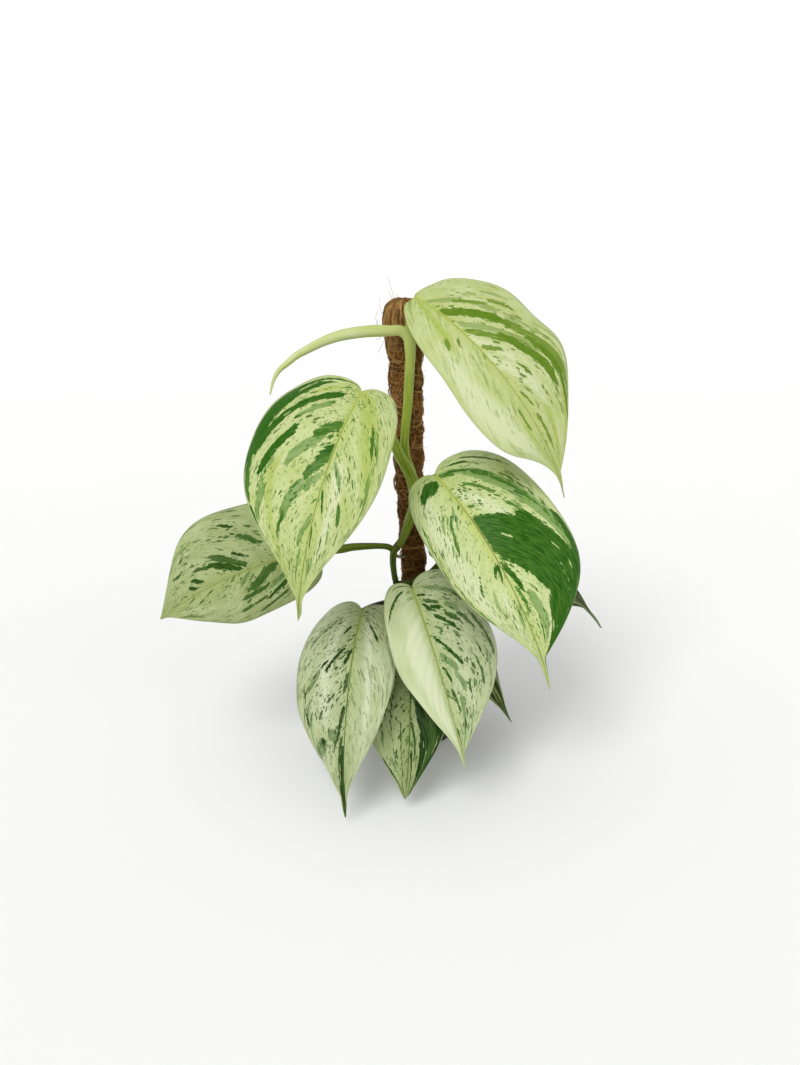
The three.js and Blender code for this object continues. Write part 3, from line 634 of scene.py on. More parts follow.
def stem_material():
    """Green stalks: pale yellow-green at the top of the plant, olive lower down, with soft stripes."""
    net = Net("green_stalks")
    place = net.field("stalk")
    height = net.split(place)[0]
    high = net.step(height, 222.0, 280.0)
    low = net.step(height, 186.0, 142.0)
    deep = net.step(height, 146.0, 116.0)

    def by_height(top, upper, lower, foot):
        return net.mix(deep, net.mix(low, net.mix(high, upper, top), lower), foot)

    skin = by_height((190, 204, 104), (152, 170, 56), (114, 132, 36), (74, 94, 18))
    stripe = by_height((166, 184, 76), (116, 140, 28), (78, 98, 16), (48, 68, 8))
    pale = by_height((204, 215, 132), (178, 190, 92), (150, 158, 76), (104, 114, 44))
    stripes = net.grain(place, (0.012, 1.5, 0.03), detail=3)
    colour = net.mix(net.step(stripes, 0.42, 0.62), skin, stripe)
    edges = net.grain(place, (0.01, 1.1, 0.02), (4, 1, 7))
    colour = net.layer(colour, net.step(edges, 0.54, 0.70), 0.5, pale)
    mottle = net.grain(place, (0.2, 2.0, 0.25), detail=4)
    colour = net.layer(colour, net.step(mottle, 0.55, 0.75), 0.35, stripe)
    colour = net.layer(colour, net.field("ring", "Fac"), 0.9, (70, 50, 18))
    return net.finish(
        Base_Color=colour, Roughness=net.step(mottle, 0.3, 0.7, 0.42, 0.54), Specular_IOR_Level=0.16,
        Subsurface_Weight=0.06, Subsurface_Radius=(0.6, 1.0, 0.3), Subsurface_Scale=0.0014,
        Normal=net.bump(net.grain(place, (0.05, 9.0, 0.15), detail=3), 0.0003, 0.5))


def rolled_leaf_material():
    """The rolled new leaf: stalk green where it leaves its sheath, then pale with faint streaks."""
    net = Net("rolled_new_leaf")
    place = net.field("stalk")
    along = net.split(place)[2]
    streak = net.grain(place, (0.0, 2.2, 0.035), detail=3)
    colour = net.mix(net.step(streak, 0.38, 0.66), (210, 219, 156), (190, 205, 118))
    blush = net.grain(place, (0.0, 0.8, 0.06))
    colour = net.layer(colour, net.step(blush, 0.5, 0.7), 0.5, (222, 230, 184))
    colour = net.mix(net.step(along, 58.0, 30.0), colour, (200, 211, 130))
    colour = net.mix(net.step(along, 32.0, 8.0), colour, (178, 192, 94))
    colour = net.layer(colour, net.field("ring", "Fac"), 0.55, (150, 172, 84))
    return net.finish(
        Base_Color=colour, Roughness=0.46, Specular_IOR_Level=0.2,
        Subsurface_Weight=0.10, Subsurface_Radius=(0.7, 1.0, 0.3), Subsurface_Scale=0.0016,
        Normal=net.bump(streak, 0.0002, 0.5))


def root_material():
    """Short aerial roots: cream and pale brown with a dry, scurfy skin."""
    net = Net("aerial_roots")
    scurf = net.grain(net.field("stalk"), (0.5, 1.5, 0.5), detail=4)
    colour = net.mix(net.step(scurf, 0.35, 0.65), (186, 184, 140), (122, 104, 62))
    return net.finish(Base_Color=colour, Roughness=0.75, Normal=net.bump(scurf, 0.0004, 0.6))


def coir_material(name, light, dark, darkest):
    """Coconut fibre, each strand its own brown, darker toward the foot of the pole."""
    net = Net(name)
    tone, height, _ = net.split(net.field("fibre"))
    place = net.stretch(net.place(), (1000, 1000, 1000))
    grain = net.noise(place, 0.9, 3)
    blotch = net.noise(net.shift(place, (3, 1, 2)), 0.07, 2)
    across, deep_in, up = net.split(place)
    strand = 0.0
    for lean, offset in ((0.12, 3), (-0.55, 11), (0.85, 23)):
        slid = net.node("CombineXYZ", {
            0: net.add(across, net.times(up, lean)), 1: net.add(deep_in, net.times(up, lean)),
            2: net.times(up, 0.09)})
        line = net.step(net.noise(net.shift(slid, (offset, 0, 0)), 1.6, 2), 0.50, 0.64)
        strand = net.larger(strand, line)
    share = net.add(net.times(tone, 0.75), net.swing(grain, 0.6), net.times(strand, 0.45))
    colour = net.mix(net.step(share, 0.10, 0.95), dark, light)
    colour = net.layer(colour, net.step(blotch, 0.45, 0.68), 0.30, darkest)
    # The fibre grows darker from 250 mm down to 120 mm up the pole.
    darker_low = net.step(height, 250.0, 120.0, 0.0, 0.62)
    colour = net.mix(darker_low, colour, net.mix(net.step(share, 0.1, 0.9), darkest, dark))
    return net.finish(
        Base_Color=colour, Roughness=0.85, Specular_IOR_Level=0.12,
        Normal=net.bump(net.add(grain, net.times(strand, 0.8)), 0.0004, 0.8))


def hair_material():
    """Loose pale hairs of coir that stand off the pole."""
    net = Net("loose_coir_hairs")
    tone = net.split(net.field("fibre"))[0]
    colour = net.mix(tone, (176, 164, 126), (128, 104, 66))
    grain = net.noise(net.place(), 700.0, 2)
    return net.finish(Base_Color=colour, Roughness=0.8, Normal=net.bump(grain, 0.0002, 0.4))


def mix_material(name, dark, light, stain):
    """Potting mix: every crumb or chip has its own tone from dark to light, and is stained in patches."""
    net = Net(name)
    tone = net.split(net.field("fibre"))[0]
    place = net.place()
    grain = net.noise(place, 620.0, 4, 0.6)
    colour = net.mix(net.step(net.add(tone, net.swing(grain, 0.8)), 0.1, 0.9), dark, light)
    patch = net.noise(net.shift(place, (2, 5, 1)), 160.0, 3)
    colour = net.layer(colour, net.step(patch, 0.52, 0.66), 0.6, stain)
    return net.finish(Base_Color=colour, Roughness=0.94, Specular_IOR_Level=0.2,
                      Normal=net.bump(grain, 0.0012, 0.9))


def pot_material():
    """Dark brown moulded plastic with a fine matt grain, dusty scuffs and faint flow lines."""
    net = Net("moulded_pot")
    place = net.place()
    grain = net.noise(place, 1500.0, 3)
    scuffs = net.noise(net.stretch(place, (1, 1, 0.35)), 55.0, 5, 0.65)
    flow = net.noise(net.stretch(place, (1, 1, 7)), 22.0, 3)
    colour = net.layer((44, 36, 30), net.step(scuffs, 0.50, 0.72), 0.45, (74, 64, 54))
    colour = net.layer(colour, net.step(flow, 0.45, 0.65), 0.3, (34, 28, 24))
    height = net.add(net.times(grain, 0.7), net.times(flow, 0.5))
    return net.finish(Base_Color=colour, Roughness=net.step(scuffs, 0.35, 0.7, 0.46, 0.66),
                      Specular_IOR_Level=0.4, Normal=net.bump(height, 0.00012, 0.6))


# Leaf blades

def half_outline(leaf, half, steps):
    """One half of the flat blade, from the notch round the lobe and out to the tip, in equal steps."""
    length, width, lobe, base = leaf.length, half.width, half.lobe, half.base
    broad = half.widest * length
    notch, back, broadest = (0, 0), (-lobe, base * width), (broad, width)
    neck, tip = (length - leaf.drip, 2.2), (length, 0)
    shoulder = ((0.8 + 0.08 * half.shoulder) * length - leaf.drip,
                2.2 + (0.3 + 0.12 * half.shoulder) * width)
    curves = [
        (notch, (-0.55 * lobe, 0.1 * base * width), (-lobe, 0.38 * base * width), back),
        (back, (-lobe, (base + 0.38) * width), (0.45 * broad, width), broadest),
        (broadest, (broad + 0.25 * length, width), shoulder, neck),
        (neck, (length - 0.72 * leaf.drip, 1.4), (length - 0.35 * leaf.drip, 1.0), tip),
    ]
    t = np.linspace(0, 1, 160)[:, None]
    weights = [(1 - t) ** 3, 3 * (1 - t) ** 2 * t, 3 * (1 - t) * t ** 2, t ** 3]
    dense = np.vstack([sum(w * np.array(p, float) for w, p in zip(weights, curve)) for curve in curves])
    return even_steps(dense, steps)[0].T


def midrib(leaf, steps=60):
    """Stations along the bent midrib: place, along, across to the right, and up."""
    heading, pitch, roll = np.radians([leaf.heading, leaf.pitch, leaf.roll])
    along = np.array([math.cos(pitch) * math.sin(heading), -math.cos(pitch) * math.cos(heading),
                      math.sin(pitch)])
    across = turned(np.array([math.cos(heading), math.sin(heading), 0.0]), along, roll)
    up = np.cross(along, across)
    place = np.array(leaf.base, dtype=float)
    stations = [(place, along, across, up)]
    sweep = math.radians(leaf.sweep) / steps
    tip_share = leaf.drip / leaf.length
    for i in range(steps):
        in_tip = (i + 0.5) / steps > 1 - tip_share
        droop = math.radians(leaf.droop + (leaf.tip_curl / tip_share if in_tip else 0)) / steps
        along, up = turned(along, across, droop), turned(up, across, droop)
        along, across = turned(along, up, sweep), turned(across, up, sweep)
        place = place + along * leaf.length / steps
        stations.append((place, along, across, up))
    return [np.array(column) for column in zip(*stations)]


def blade_points(leaf, a, b, edge, turn):
    """The bent blade at flat places: a along the midrib, b across it (left is below 0)."""
    stations = midrib(leaf)
    last = len(stations[0]) - 1
    place = np.clip(a, 0, leaf.length) / leaf.length * last
    start = np.minimum(np.floor(place).astype(int), last - 1)
    mix = (place - start)[..., None]
    position, along, across, up = [s[start] * (1 - mix) + s[start + 1] * mix for s in stations]
    bend = math.radians(leaf.curl) / np.where(b < 0, leaf.left.width, leaf.right.width)
    fold = math.radians(leaf.fold)
    reach = np.abs(b)
    out = (math.sin(fold) - np.sin(fold - bend * reach)) / bend
    rise = (np.cos(fold - bend * reach) - math.cos(fold)) / bend
    wave = BLADE["wave"] * edge ** 2 * np.sin(CIRCLE * BLADE["waves"] * turn)
    return (position + along * np.minimum(a, 0)[..., None] + across * (np.sign(b) * out)[..., None]
            + up * (rise + wave)[..., None])


def patch_field(leaf, left, x, y, tone):
    """How deep a place is inside the nearest patch of that tone, and 0 at the patch's edge.
    x is across the side veins and y along them, in millimetres."""
    field = np.full(x.shape, -2.0)
    for side in SIDES:
        size = np.array([VEIN_SPAN * leaf.length, getattr(leaf, side).width]) / 100
        for vein, out, to_vein, to_out, width in MARKINGS[leaf.name].get(f"{side} {tone}", []):
            start = np.array([vein, out]) * size
            run = np.array([to_vein, to_out]) * size - start
            reach = math.hypot(*run)
            along = ((x - start[0]) * run[0] + (y - start[1]) * run[1]) / reach
            off = ((x - start[0]) * run[1] - (y - start[1]) * run[0]) / reach
            past = np.maximum(np.maximum(-along, along - reach), 0)
            softness = math.sqrt(2.2 * width) * min(1.0, 0.3 + 0.45 * width)
            depth = (width - np.hypot(off, 0.8 * past)) / softness
            field = np.where(left == (side == "left"), np.maximum(field, depth), field)
    return field


def blade_faces(rows, span):
    """Faces of a closed blade whose first and last rows are one point each: the upper side, the
    lower side and the strip that joins them round the margin."""
    count = (rows - 1) * span + 2

    def corner(row, place):
        if row == 0:
            return 0
        return count - 1 if row == rows else 1 + (row - 1) * span + place

    faces = []
    for row in range(rows):
        for place in range(span - 1):
            ring = [corner(row, place), corner(row + 1, place),
                    corner(row + 1, place + 1), corner(row, place + 1)]
            ring = list(dict.fromkeys(ring))
            faces += [ring, [count + i for i in reversed(ring)]]
        for place, flip in ((0, False), (span - 1, True)):
            near, far = corner(row, place), corner(row + 1, place)
            strip = [near, count + near, count + far, far]
            faces.append(strip[::-1] if flip else strip)
    return faces


def leaf_blade(leaf, number):
    """A leaf blade as a thin closed skin with a sunk midrib, gentle swelling between its side veins
    and the fields that its markings follow."""
    rows, columns = BLADE["rows"], BLADE["columns"]
    span = 2 * columns + 1
    turn = np.linspace(0, 1, rows + 1)[:, None] * np.ones(span)
    column = np.arange(-columns, columns + 1) * np.ones((rows + 1, 1))
    share = (np.abs(column) / columns) ** 1.3
    left = column < 0
    rims = [half_outline(leaf, getattr(leaf, side), rows) for side in SIDES]
    rim_a, rim_b = [np.where(left, one[:, None], other[:, None]) for one, other in zip(*rims)]
    root = leaf.length * turn ** 1.35
    a = root + (rim_a - root) * share
    b = np.sign(column) * rim_b * share
    points = blade_points(leaf, a, b, share, np.where(left, turn, turn + 0.37))

    normal = np.cross(np.gradient(points, axis=0), np.gradient(points, axis=1))
    normal[0], normal[-1] = normal[1], normal[-2]
    normal = unit(normal)
    normal[0], normal[-1] = normal[0, columns], normal[-1, columns]

    vein = turn - VEIN_SWEEP * (1 - np.sqrt(np.clip(1 - share, 0, 1)))
    across_veins = vein * VEIN_SPAN * leaf.length
    along_vein = share * np.where(left, leaf.left.width, leaf.right.width)
    calm = smoothstep(0.03, 0.22, share) * (1 - smoothstep(0.80, 1.0, share)) * smoothstep(0, 14, rim_b)
    beat = np.abs((across_veins / VEIN_GAP) % 1.0 - 0.5) * 2
    swelling = 0.34 * calm * (1 - beat ** 2)
    furrow = -0.22 * calm * bell(1 - beat, 0.16)
    ground = 0.55 * smoothstep(0.0, 0.5, share) * waves(a, b, 46, 10 + number)
    from_rib = np.abs(b)
    taper = 1 - 0.65 * turn
    groove = -0.32 * taper * bell(from_rib, 0.95 * taper + 0.25)
    keel = -1.00 * taper * bell(from_rib, 1.15 * taper + 0.2)
    thin_rim = 1 - 0.45 * smoothstep(0.93, 1.0, share)
    half_thick = BLADE["thickness"] / 2 * thin_rim * (0.55 + 0.45 * smoothstep(0, 6, rim_b))
    slack = smoothstep(0, 0.05, turn) * smoothstep(0, 0.04, 1 - turn)
    middle = (swelling + furrow + ground) * slack
    top = points + normal * (middle + half_thick + groove * slack)[..., None]
    bottom = points + normal * (middle - half_thick + keel * slack)[..., None]

    marks = [patch_field(leaf, left, across_veins, along_vein, tone) for tone in TONES]
    # Every half takes its noise from a place of its own, a whole number of veins away.
    apart = number * 60 * VEIN_GAP + np.where(left, 0.0, 30 * VEIN_GAP)
    plainness = np.where(left, *[PLAIN_HALVES.get((leaf.name, side), 0) for side in SIDES])
    fields = dict(
        vein=np.stack([across_veins + apart, along_vein, 0 * a], -1),
        flat=np.stack([a + apart, b, 0 * a], -1),
        marks=np.stack(marks[:3], -1),
        washes=np.stack(marks[3:] + [turn], -1),
        rib=np.stack([from_rib, from_rib / (0.35 + 1.25 * taper), 0 * a], -1),
        share=share,
        plain=plainness * smoothstep(0.02, 0.10, share) * smoothstep(0.12, 0.22, turn))

    def gathered(grid):
        inner = grid[1:-1].reshape(-1, *grid.shape[2:])
        return np.concatenate([grid[0, columns][None], inner, grid[-1, columns][None]])

    points = np.vstack([gathered(top), gathered(bottom)])
    both = {key: np.concatenate([gathered(value)] * 2) for key, value in fields.items()}
    both["under"] = np.repeat([0.0, 1.0], len(points) // 2)
    shape = Shape().add(points, blade_faces(rows, span), **both)
    material = leaf_material(leaf.name + "_skin", LOOKS[leaf.name])
    return shape.piece(leaf.name + "_blade", material, "variegated_leaf", replaces=(leaf.name,))


# Stalks and other round parts

def smooth_route(route, steps):
    """A smooth curve through the points of a route, in equal steps (centripetal Catmull-Rom)."""
    points = [np.array(p, float) for p in route]
    points = [2 * points[0] - points[1]] + points + [2 * points[-1] - points[-2]]
    dense = []
    for p0, p1, p2, p3 in zip(points, points[1:], points[2:], points[3:]):
        d0, d1, d2 = [max(np.linalg.norm(q - p) ** 0.5, 1e-4) for p, q in ((p0, p1), (p1, p2), (p2, p3))]
        m1 = d1 * ((p1 - p0) / d0 - (p2 - p0) / (d0 + d1) + (p2 - p1) / d1)
        m2 = d1 * ((p2 - p1) / d1 - (p3 - p1) / (d1 + d2) + (p3 - p2) / d2)
        t = np.linspace(0, 1, 40)[:, None]
        dense.append((2 * t ** 3 - 3 * t ** 2 + 1) * p1 + (t ** 3 - 2 * t ** 2 + t) * m1
                     + (3 * t ** 2 - 2 * t ** 3) * p2 + (t ** 3 - t ** 2) * m2)
    return even_steps(np.vstack(dense), steps)


def tube(shape, route, radii, sides=22, spacing=0.9, form=None, rings=()):
    """A tapered round part along a route. form(share, angle) changes its section, and rings are
    places along it, in millimetres, of the scars of old leaves."""
    length = smooth_route(route, 4)[1][-1]
    centre, walked = smooth_route(route, max(8, int(length / spacing)))
    tangent = unit(np.gradient(centre, axis=0))
    upright = abs(tangent[0, 2]) > 0.6
    up = np.array([0.0, -1.0, 0.0]) if upright else np.array([0.0, 0.0, 1.0])
    ups = []
    for direction in tangent:
        up = unit(up - direction * np.dot(up, direction))
        ups.append(up)
    ups = np.array(ups)
    across = np.cross(tangent, ups)

    def near_rings(width):
        return sum([bell(walked - place, width) for place in rings], np.zeros_like(walked))

    share = walked / walked[-1]
    scar = near_rings(0.7)
    radius = np.interp(share * (len(radii) - 1), range(len(radii)), radii)
    radius = radius * (1 + 0.10 * near_rings(3.0) - 0.10 * scar)
    angle = around(sides)
    section = form(share[:, None], angle) if form else np.ones((len(share), sides))
    spoke = np.cos(angle)[:, None] * ups[:, None] + np.sin(angle)[:, None] * across[:, None]
    points = centre[:, None] + spoke * (radius[:, None] * section)[..., None]
    points = np.vstack([points.reshape(-1, 3), centre[:1], centre[-1:]])
    from_top = np.abs(((angle / math.pi + 1) % 2) - 1) * 4
    place = np.stack([points[:-2, 2], np.tile(from_top, len(centre)), np.repeat(walked, sides)], -1)
    place = np.vstack([place, place[:1], place[-1:]])
    ring = np.concatenate([np.repeat(scar, sides), [0, 0]])
    shape.add(points, ring_faces(len(centre), sides, flip=True, capped=True), stalk=place, ring=ring)


def half_turn(angle):
    """The same angle between half a turn to the left and half a turn to the right."""
    return (angle + math.pi) % CIRCLE - math.pi


def channelled(share, angle):
    """A leaf stalk's section: a shallow channel along its upper side between two low wings."""
    turn = half_turn(angle)
    relief = 0.16 * bell(np.abs(turn) - 0.62, 0.22) - 0.20 * bell(turn, 0.34)
    return 1 + 0.6 * relief * smoothstep(0.0, 0.12, share) * (1 - smoothstep(0.85, 1.0, share))


def winged_sheath(share, angle):
    """The far left stalk: flat above, with a broad sheath that hangs as a thin keel below."""
    turn = half_turn(angle)
    sheath = smoothstep(0.25, 0.6, share) * (1 - smoothstep(0.72, 0.92, share))
    return 1 - 0.22 * bell(turn, 0.5) + 0.55 * bell(np.abs(turn) - math.pi, 0.45) * sheath


def stalk_ends(leaf, stalk):
    """The last points of a stalk: up to the notch and on under the midrib. The top one comes up from
    below, so it stays hidden under its blade."""
    place, along, _, up = midrib(leaf)
    radius = stalk["radii"][-1]
    below = BLADE["thickness"] / 2 + 0.75 * radius
    close = 0.35 * radius + 0.2
    if stalk.get("from_below"):
        return [tuple(place[3] - below * up[3]), tuple(place[7] - close * up[7])]
    approach = place[0] - 3 * along[1] - (below + 1.8) * up[1]
    return [tuple(approach), tuple(place[2] - below * up[1]), tuple(place[6] - close * up[6])]


def vine():
    """The climbing stem with its scars, and every leaf's stalk."""
    shape = Shape()
    tube(shape, STEM["route"], STEM["radii"], sides=26, rings=STEM_NODES)
    for leaf in LEAVES:
        stalk = STALKS[leaf.name]
        form = winged_sheath if leaf.name == "leaf_far_left" else channelled
        radii = stalk["radii"] + [0.35 * stalk["radii"][-1]]
        tube(shape, stalk["route"] + stalk_ends(leaf, stalk), radii, form=form)
    material = stem_material()
    return shape.piece("vine_and_leaf_stalks", material, "green_stem", replaces=("vine_and_stalks",))


def aerial_roots():
    """Short knobbly roots from the stem to the pole."""
    shape = Shape()
    for route in AERIAL_ROOTS:
        tube(shape, route, [1.3, 1.0, 0.6], sides=10, spacing=0.8,
             form=lambda share, angle: 1 + 0.08 * np.sin(5 * angle + 30 * share))
    return shape.piece("aerial_roots", root_material(), "green_stem")


def rolled_leaf():
    """The new leaf with the sheath it comes from: rolled, its outer edge winding slowly round it
    as a raised seam."""
    sides = 36

    def from_seam(share, angle):
        return (angle + 0.4 + 1.1 * share) % CIRCLE

    def roll(share, angle):
        return 0.97 + 0.15 * from_seam(share, angle) / CIRCLE * smoothstep(0.24, 0.34, share)

    shape = Shape()
    tube(shape, NEW_LEAF["route"], NEW_LEAF["radii"], sides=sides, spacing=0.6, form=roll)
    walked = shape.fields["stalk"][0][:, 2]
    share = walked / walked.max()
    angle = np.append(np.tile(around(sides), (len(walked) - 2) // sides), [0, 0])
    turn = from_seam(share, angle)
    near_seam = bell(np.minimum(turn, CIRCLE - turn), 0.16)
    shape.fields["ring"] = [near_seam * smoothstep(0.28, 0.36, share)]
    return shape.piece("new_leaf_roll", rolled_leaf_material(), "new_leaf", replaces=("new_rolled_leaf",))


# The coir pole

def pole_axis(z):
    share = (np.asarray(z, float) - POLE["foot"]) / (POLE["top"] - POLE["foot"])
    return POLE["foot_x"] + (POLE["top_x"] - POLE["foot_x"]) * share


def pole_radius(z):
    """Radius at a height: a slow taper, a pinch at each turn of the binding, and a rounded top."""
    heights, radii = zip(*POLE["girth"])
    from_binding = POLE["top"] - POLE["first_pinch"] - z
    pinch = POLE["pinch_depth"] * np.abs(np.cos(math.pi * from_binding / POLE["pinch_pitch"])) ** 4
    body = np.interp(z, heights, radii) - pinch + POLE["pinch_depth"] / 2
    rise = np.clip((z - (POLE["top"] - POLE["dome"])) / POLE["dome"], 0, 1)
    return body * (1 - rise ** 2.3) ** (1 / 2.3)


def pole_point(angle, z, lift=0.0):
    """A point on the pole, or this far off it."""
    return on_ring(pole_radius(z) + lift, angle, z, pole_axis(z))


def fibre_field(tones, points):
    """The tone of every point and its height, for the materials of fibres and crumbs."""
    return np.stack([tones, points[:, 2], np.zeros(len(points))], -1)


def pole_core():
    """The wound body of the pole, with a rough surface above the potting mix."""
    sides = 120
    hidden = MIX["surface"] - 7
    low = np.linspace(POLE["foot"], hidden, 8)
    high = np.linspace(hidden + 0.7, POLE["top"] - POLE["dome"], 300)
    cap = POLE["top"] - POLE["dome"] * (1 - np.sin(np.linspace(0.08, 0.995, 22) * math.pi / 2))
    levels = np.concatenate([low, high[1:], cap])
    z, turn = np.meshgrid(levels, around(sides), indexing="ij")
    coarse_to_fine = ((0.90, 0.16, 0.14), (0.55, 0.6, 0.35), (0.35, 1.4, 0.8))
    rough = np.array([
        sum(depth * noise.noise(Vector((p[0] * wide, p[1] * wide, p[2] * tall)))
            for depth, wide, tall in coarse_to_fine)
        for p in pole_point(turn, z).reshape(-1, 3)]).reshape(z.shape)
    bulge = 0.35 * np.sin(2 * turn + z * 0.11) * np.sin(z * 0.073)
    shown = (z > hidden + 2) * np.clip((POLE["top"] - z) / 6, 0.2, 1)
    points = pole_point(turn, z, (rough + bulge - 0.40) * shown).reshape(-1, 3)
    ends = [[POLE["foot_x"], 0, POLE["foot"]], [POLE["top_x"], 0, POLE["top"] - 0.3]]
    points = np.vstack([points, ends])
    tones = np.append(0.25 + 0.5 * np.clip(rough.ravel() + 0.3, 0, 1), [0.2, 0.4])
    faces = ring_faces(len(levels), sides, capped=True)
    shape = Shape().add(points, faces, fibre=fibre_field(tones, points))
    # The core is coir like the strands, but in darker browns: painted shade in the gaps between the
    # strands that lie over it.
    material = coir_material("coir_core", (164, 112, 56), (92, 56, 20), (54, 30, 4))
    return shape.piece("coir_pole_core", material, "coir", replaces=("coir_pole",))


def strands(name, lines, thickness, material, tones):
    """Many thin strands in one piece: lines is (strand, point, xyz), thickness is each one's radius."""
    count, steps = lines.shape[:2]
    tangent = unit(np.gradient(lines, axis=1))
    helper = unit(random.normal(size=(count, 1, 3)) * np.ones((1, steps, 1)))
    first = unit(np.cross(tangent, helper))
    second = np.cross(tangent, first)
    along = np.linspace(0, 1, steps)
    taper = np.clip(np.minimum(along, 1 - along) * 8, 0.15, 1)
    radius = thickness[:, None, None] * taper[:, None]
    corners = [lines + radius * (math.cos(angle) * first + math.sin(angle) * second)
               for angle in around(3)]
    points = np.stack(corners, axis=2).reshape(-1, 3)
    one_strand = np.array(ring_faces(steps, 3, flip=True))
    faces = (one_strand + 3 * steps * np.arange(count)[:, None, None]).reshape(-1, 4)
    tones = np.repeat(tones, steps * 3)
    shape = Shape().add(points, faces.tolist(), fibre=fibre_field(tones, points))
    return shape.piece(name, material, "coir")


def bundled(lines, strands_each, spread):
    """Each line becomes a loose bundle of strands that wander about it."""
    count, steps, _ = lines.shape
    offset = random.normal(0, spread, (count, strands_each, 1, 3))
    wander = np.cumsum(random.normal(0, spread / 6, (count, strands_each, steps, 3)), axis=2)
    return (lines[:, None] + offset + wander).reshape(count * strands_each, steps, 3)


def matted_lines(count, steps=9):
    """Fibres that lie on the pole at all slants, most of them upright or wound across."""
    each = (count, 1)
    low, high = MIX["surface"] - 3, POLE["top"] - POLE["dome"]
    z = random.uniform(low, high, each)
    angle = random.uniform(0, CIRCLE, each)
    upright = random.random(each) < 0.55
    slant = np.where(upright, random.normal(0, 0.5, each), random.normal(1.2, 0.35, each))
    slant *= random.choice([-1, 1], each)
    t = np.linspace(-0.5, 0.5, steps) * random.uniform(6, 24, each)
    heading = slant + random.normal(0, 0.06, each) * t
    level = np.clip(z + np.cos(heading) * t, low - 1, high + 2)
    turn = angle + np.sin(heading) * t / pole_radius(z)
    arch = 1 - np.linspace(-1, 1, steps) ** 2
    return pole_point(turn, level, -0.30 + arch * random.gamma(1.8, 0.26, each))


def folded_lines(count, steps=18):
    """Long fibres folded over the rounded top and down the sides to the first binding."""
    each = (count, 1)
    over_top = 17
    angle = random.uniform(0, CIRCLE, each)
    reach = random.uniform(16, 34, each)
    t = np.linspace(0, 1, steps)
    walked = random.uniform(0.0, 7.0, each) + t * reach
    rise = np.clip(walked / over_top, 0, 1)
    z = POLE["top"] - POLE["dome"] * (1 - np.cos(rise * math.pi / 2)) - np.maximum(walked - over_top, 0)
    wander = np.cumsum(random.normal(0, 0.02, (count, steps)), axis=1)
    crossing = random.normal(0, 1, each) * (random.random(each) < 0.35)
    turn = angle + wander + 0.55 * crossing * t
    lift = 0.05 + random.gamma(1.8, 0.24, each) * np.sin(math.pi * t)
    return pole_point(turn, np.minimum(z, POLE["top"] - 0.05), lift)


def wound_lines(per_turn, steps=14):
    """Fibres wound across the pole at each pinch of its binding."""
    lines = []
    each = (per_turn, 1)
    t = np.linspace(0, 1, steps)
    level = POLE["top"] - POLE["first_pinch"] - POLE["pinch_pitch"]
    while level > MIX["surface"] + 3:
        turn = random.uniform(0, CIRCLE, each) + t * random.uniform(0.8, 2.8, each)
        tilt = random.normal(0, 1.6, each) * (t - 0.5)
        z = level + random.normal(0, 1.2, each) + tilt + 0.8 * np.sin(turn + level)
        lift = 0.05 + random.gamma(1.6, 0.18, each) * np.sin(math.pi * t)
        lines.append(pole_point(turn, z, lift))
        level -= POLE["pinch_pitch"]
    return np.concatenate(lines)


def stray_hairs(count, steps=9):
    """Hairs whose free end stands off the pole."""
    each = (count, 1)
    z = random.uniform(MIX["surface"] + 3, POLE["top"] - 6, each)
    angle = random.uniform(0, CIRCLE, each)
    length = random.gamma(2.0, 1.3, each) + 1.5
    t = np.linspace(0, 1, steps)
    lean = random.normal(0.3, 0.9, each)
    swing = random.normal(0, 0.12, each)
    level = np.minimum(z + lean * t * length * 0.6, POLE["top"] - 0.5)
    return pole_point(angle + swing * t * length * 0.4, level, t ** 1.6 * length * 0.55)


def top_hairs():
    """The few long pale hairs that curl off the left of the folded top."""
    routes = [
        [(-12, -6, 292), (-14, -7, 299), (-16.8, -8, 309)],
        [(-12.5, -6, 291), (-14.5, -7, 296), (-16.2, -8, 301)],
        [(-17, -6, 284), (-20.5, -8, 288), (-21.8, -8, 294), (-20.2, -8, 298)],
        [(-18.5, -5, 277), (-22.5, -8, 280), (-23.8, -9, 285), (-21.8, -9, 290)],
        [(-18.8, -6, 273), (-22.8, -8, 274), (-24.2, -9, 278), (-22.4, -9, 283)],
        [(-18.5, -7, 271), (-20.8, -9, 267), (-22.8, -10, 263)],
        [(-19, -6, 275), (-21.6, -8, 272), (-24.0, -9, 271)],
        [(-10, -7, 293), (-10.5, -9, 296.5), (-12.5, -9.5, 299)],
        [(-18.5, -4, 280), (-21, -6, 277), (-24.2, -7, 276)],
    ]
    return np.array([smooth_route(route, 11)[0] for route in routes])


def coir_pole():
    """The wound core, the bundles of fibre on it and the loose hairs."""
    pole_core()
    coir = coir_material("coir_strands", (238, 190, 118), (130, 80, 30), (76, 42, 8))
    for name, lines, strands_each, spread, thickness in (
            ("coir_matted_fibres", matted_lines(640), 5, 0.26, (0.10, 0.25)),
            ("coir_folded_fibres", folded_lines(110), 6, 0.30, (0.13, 0.30)),
            ("coir_wound_bands", wound_lines(9), 5, 0.24, (0.10, 0.24))):
        tones = np.repeat(random.beta(0.8, 0.8, len(lines)), strands_each)
        tones = np.clip(tones + random.normal(0, 0.15, len(tones)), 0, 1)
        lines = bundled(lines, strands_each, spread)
        strands(name, lines, random.uniform(*thickness, len(lines)), coir, tones)
    hairs = stray_hairs(420)
    thickness = random.uniform(0.05, 0.10, len(hairs))
    strands("coir_stray_hairs", hairs, thickness, coir, random.beta(2.0, 2.0, len(hairs)))
    hairs = top_hairs()
    thickness = np.full(len(hairs), 0.14)
    strands("coir_top_hairs", hairs, thickness, hair_material(), random.uniform(0, 0.8, len(hairs)))


# The pot and its potting mix

def pot_radius(z):
    """Outer radius of the pot's wall, without its lip."""
    slope = (POT["rim_radius"] - POT["lip_depth"] - POT["base_radius"]) / POT["height"]
    return POT["base_radius"] + slope * z


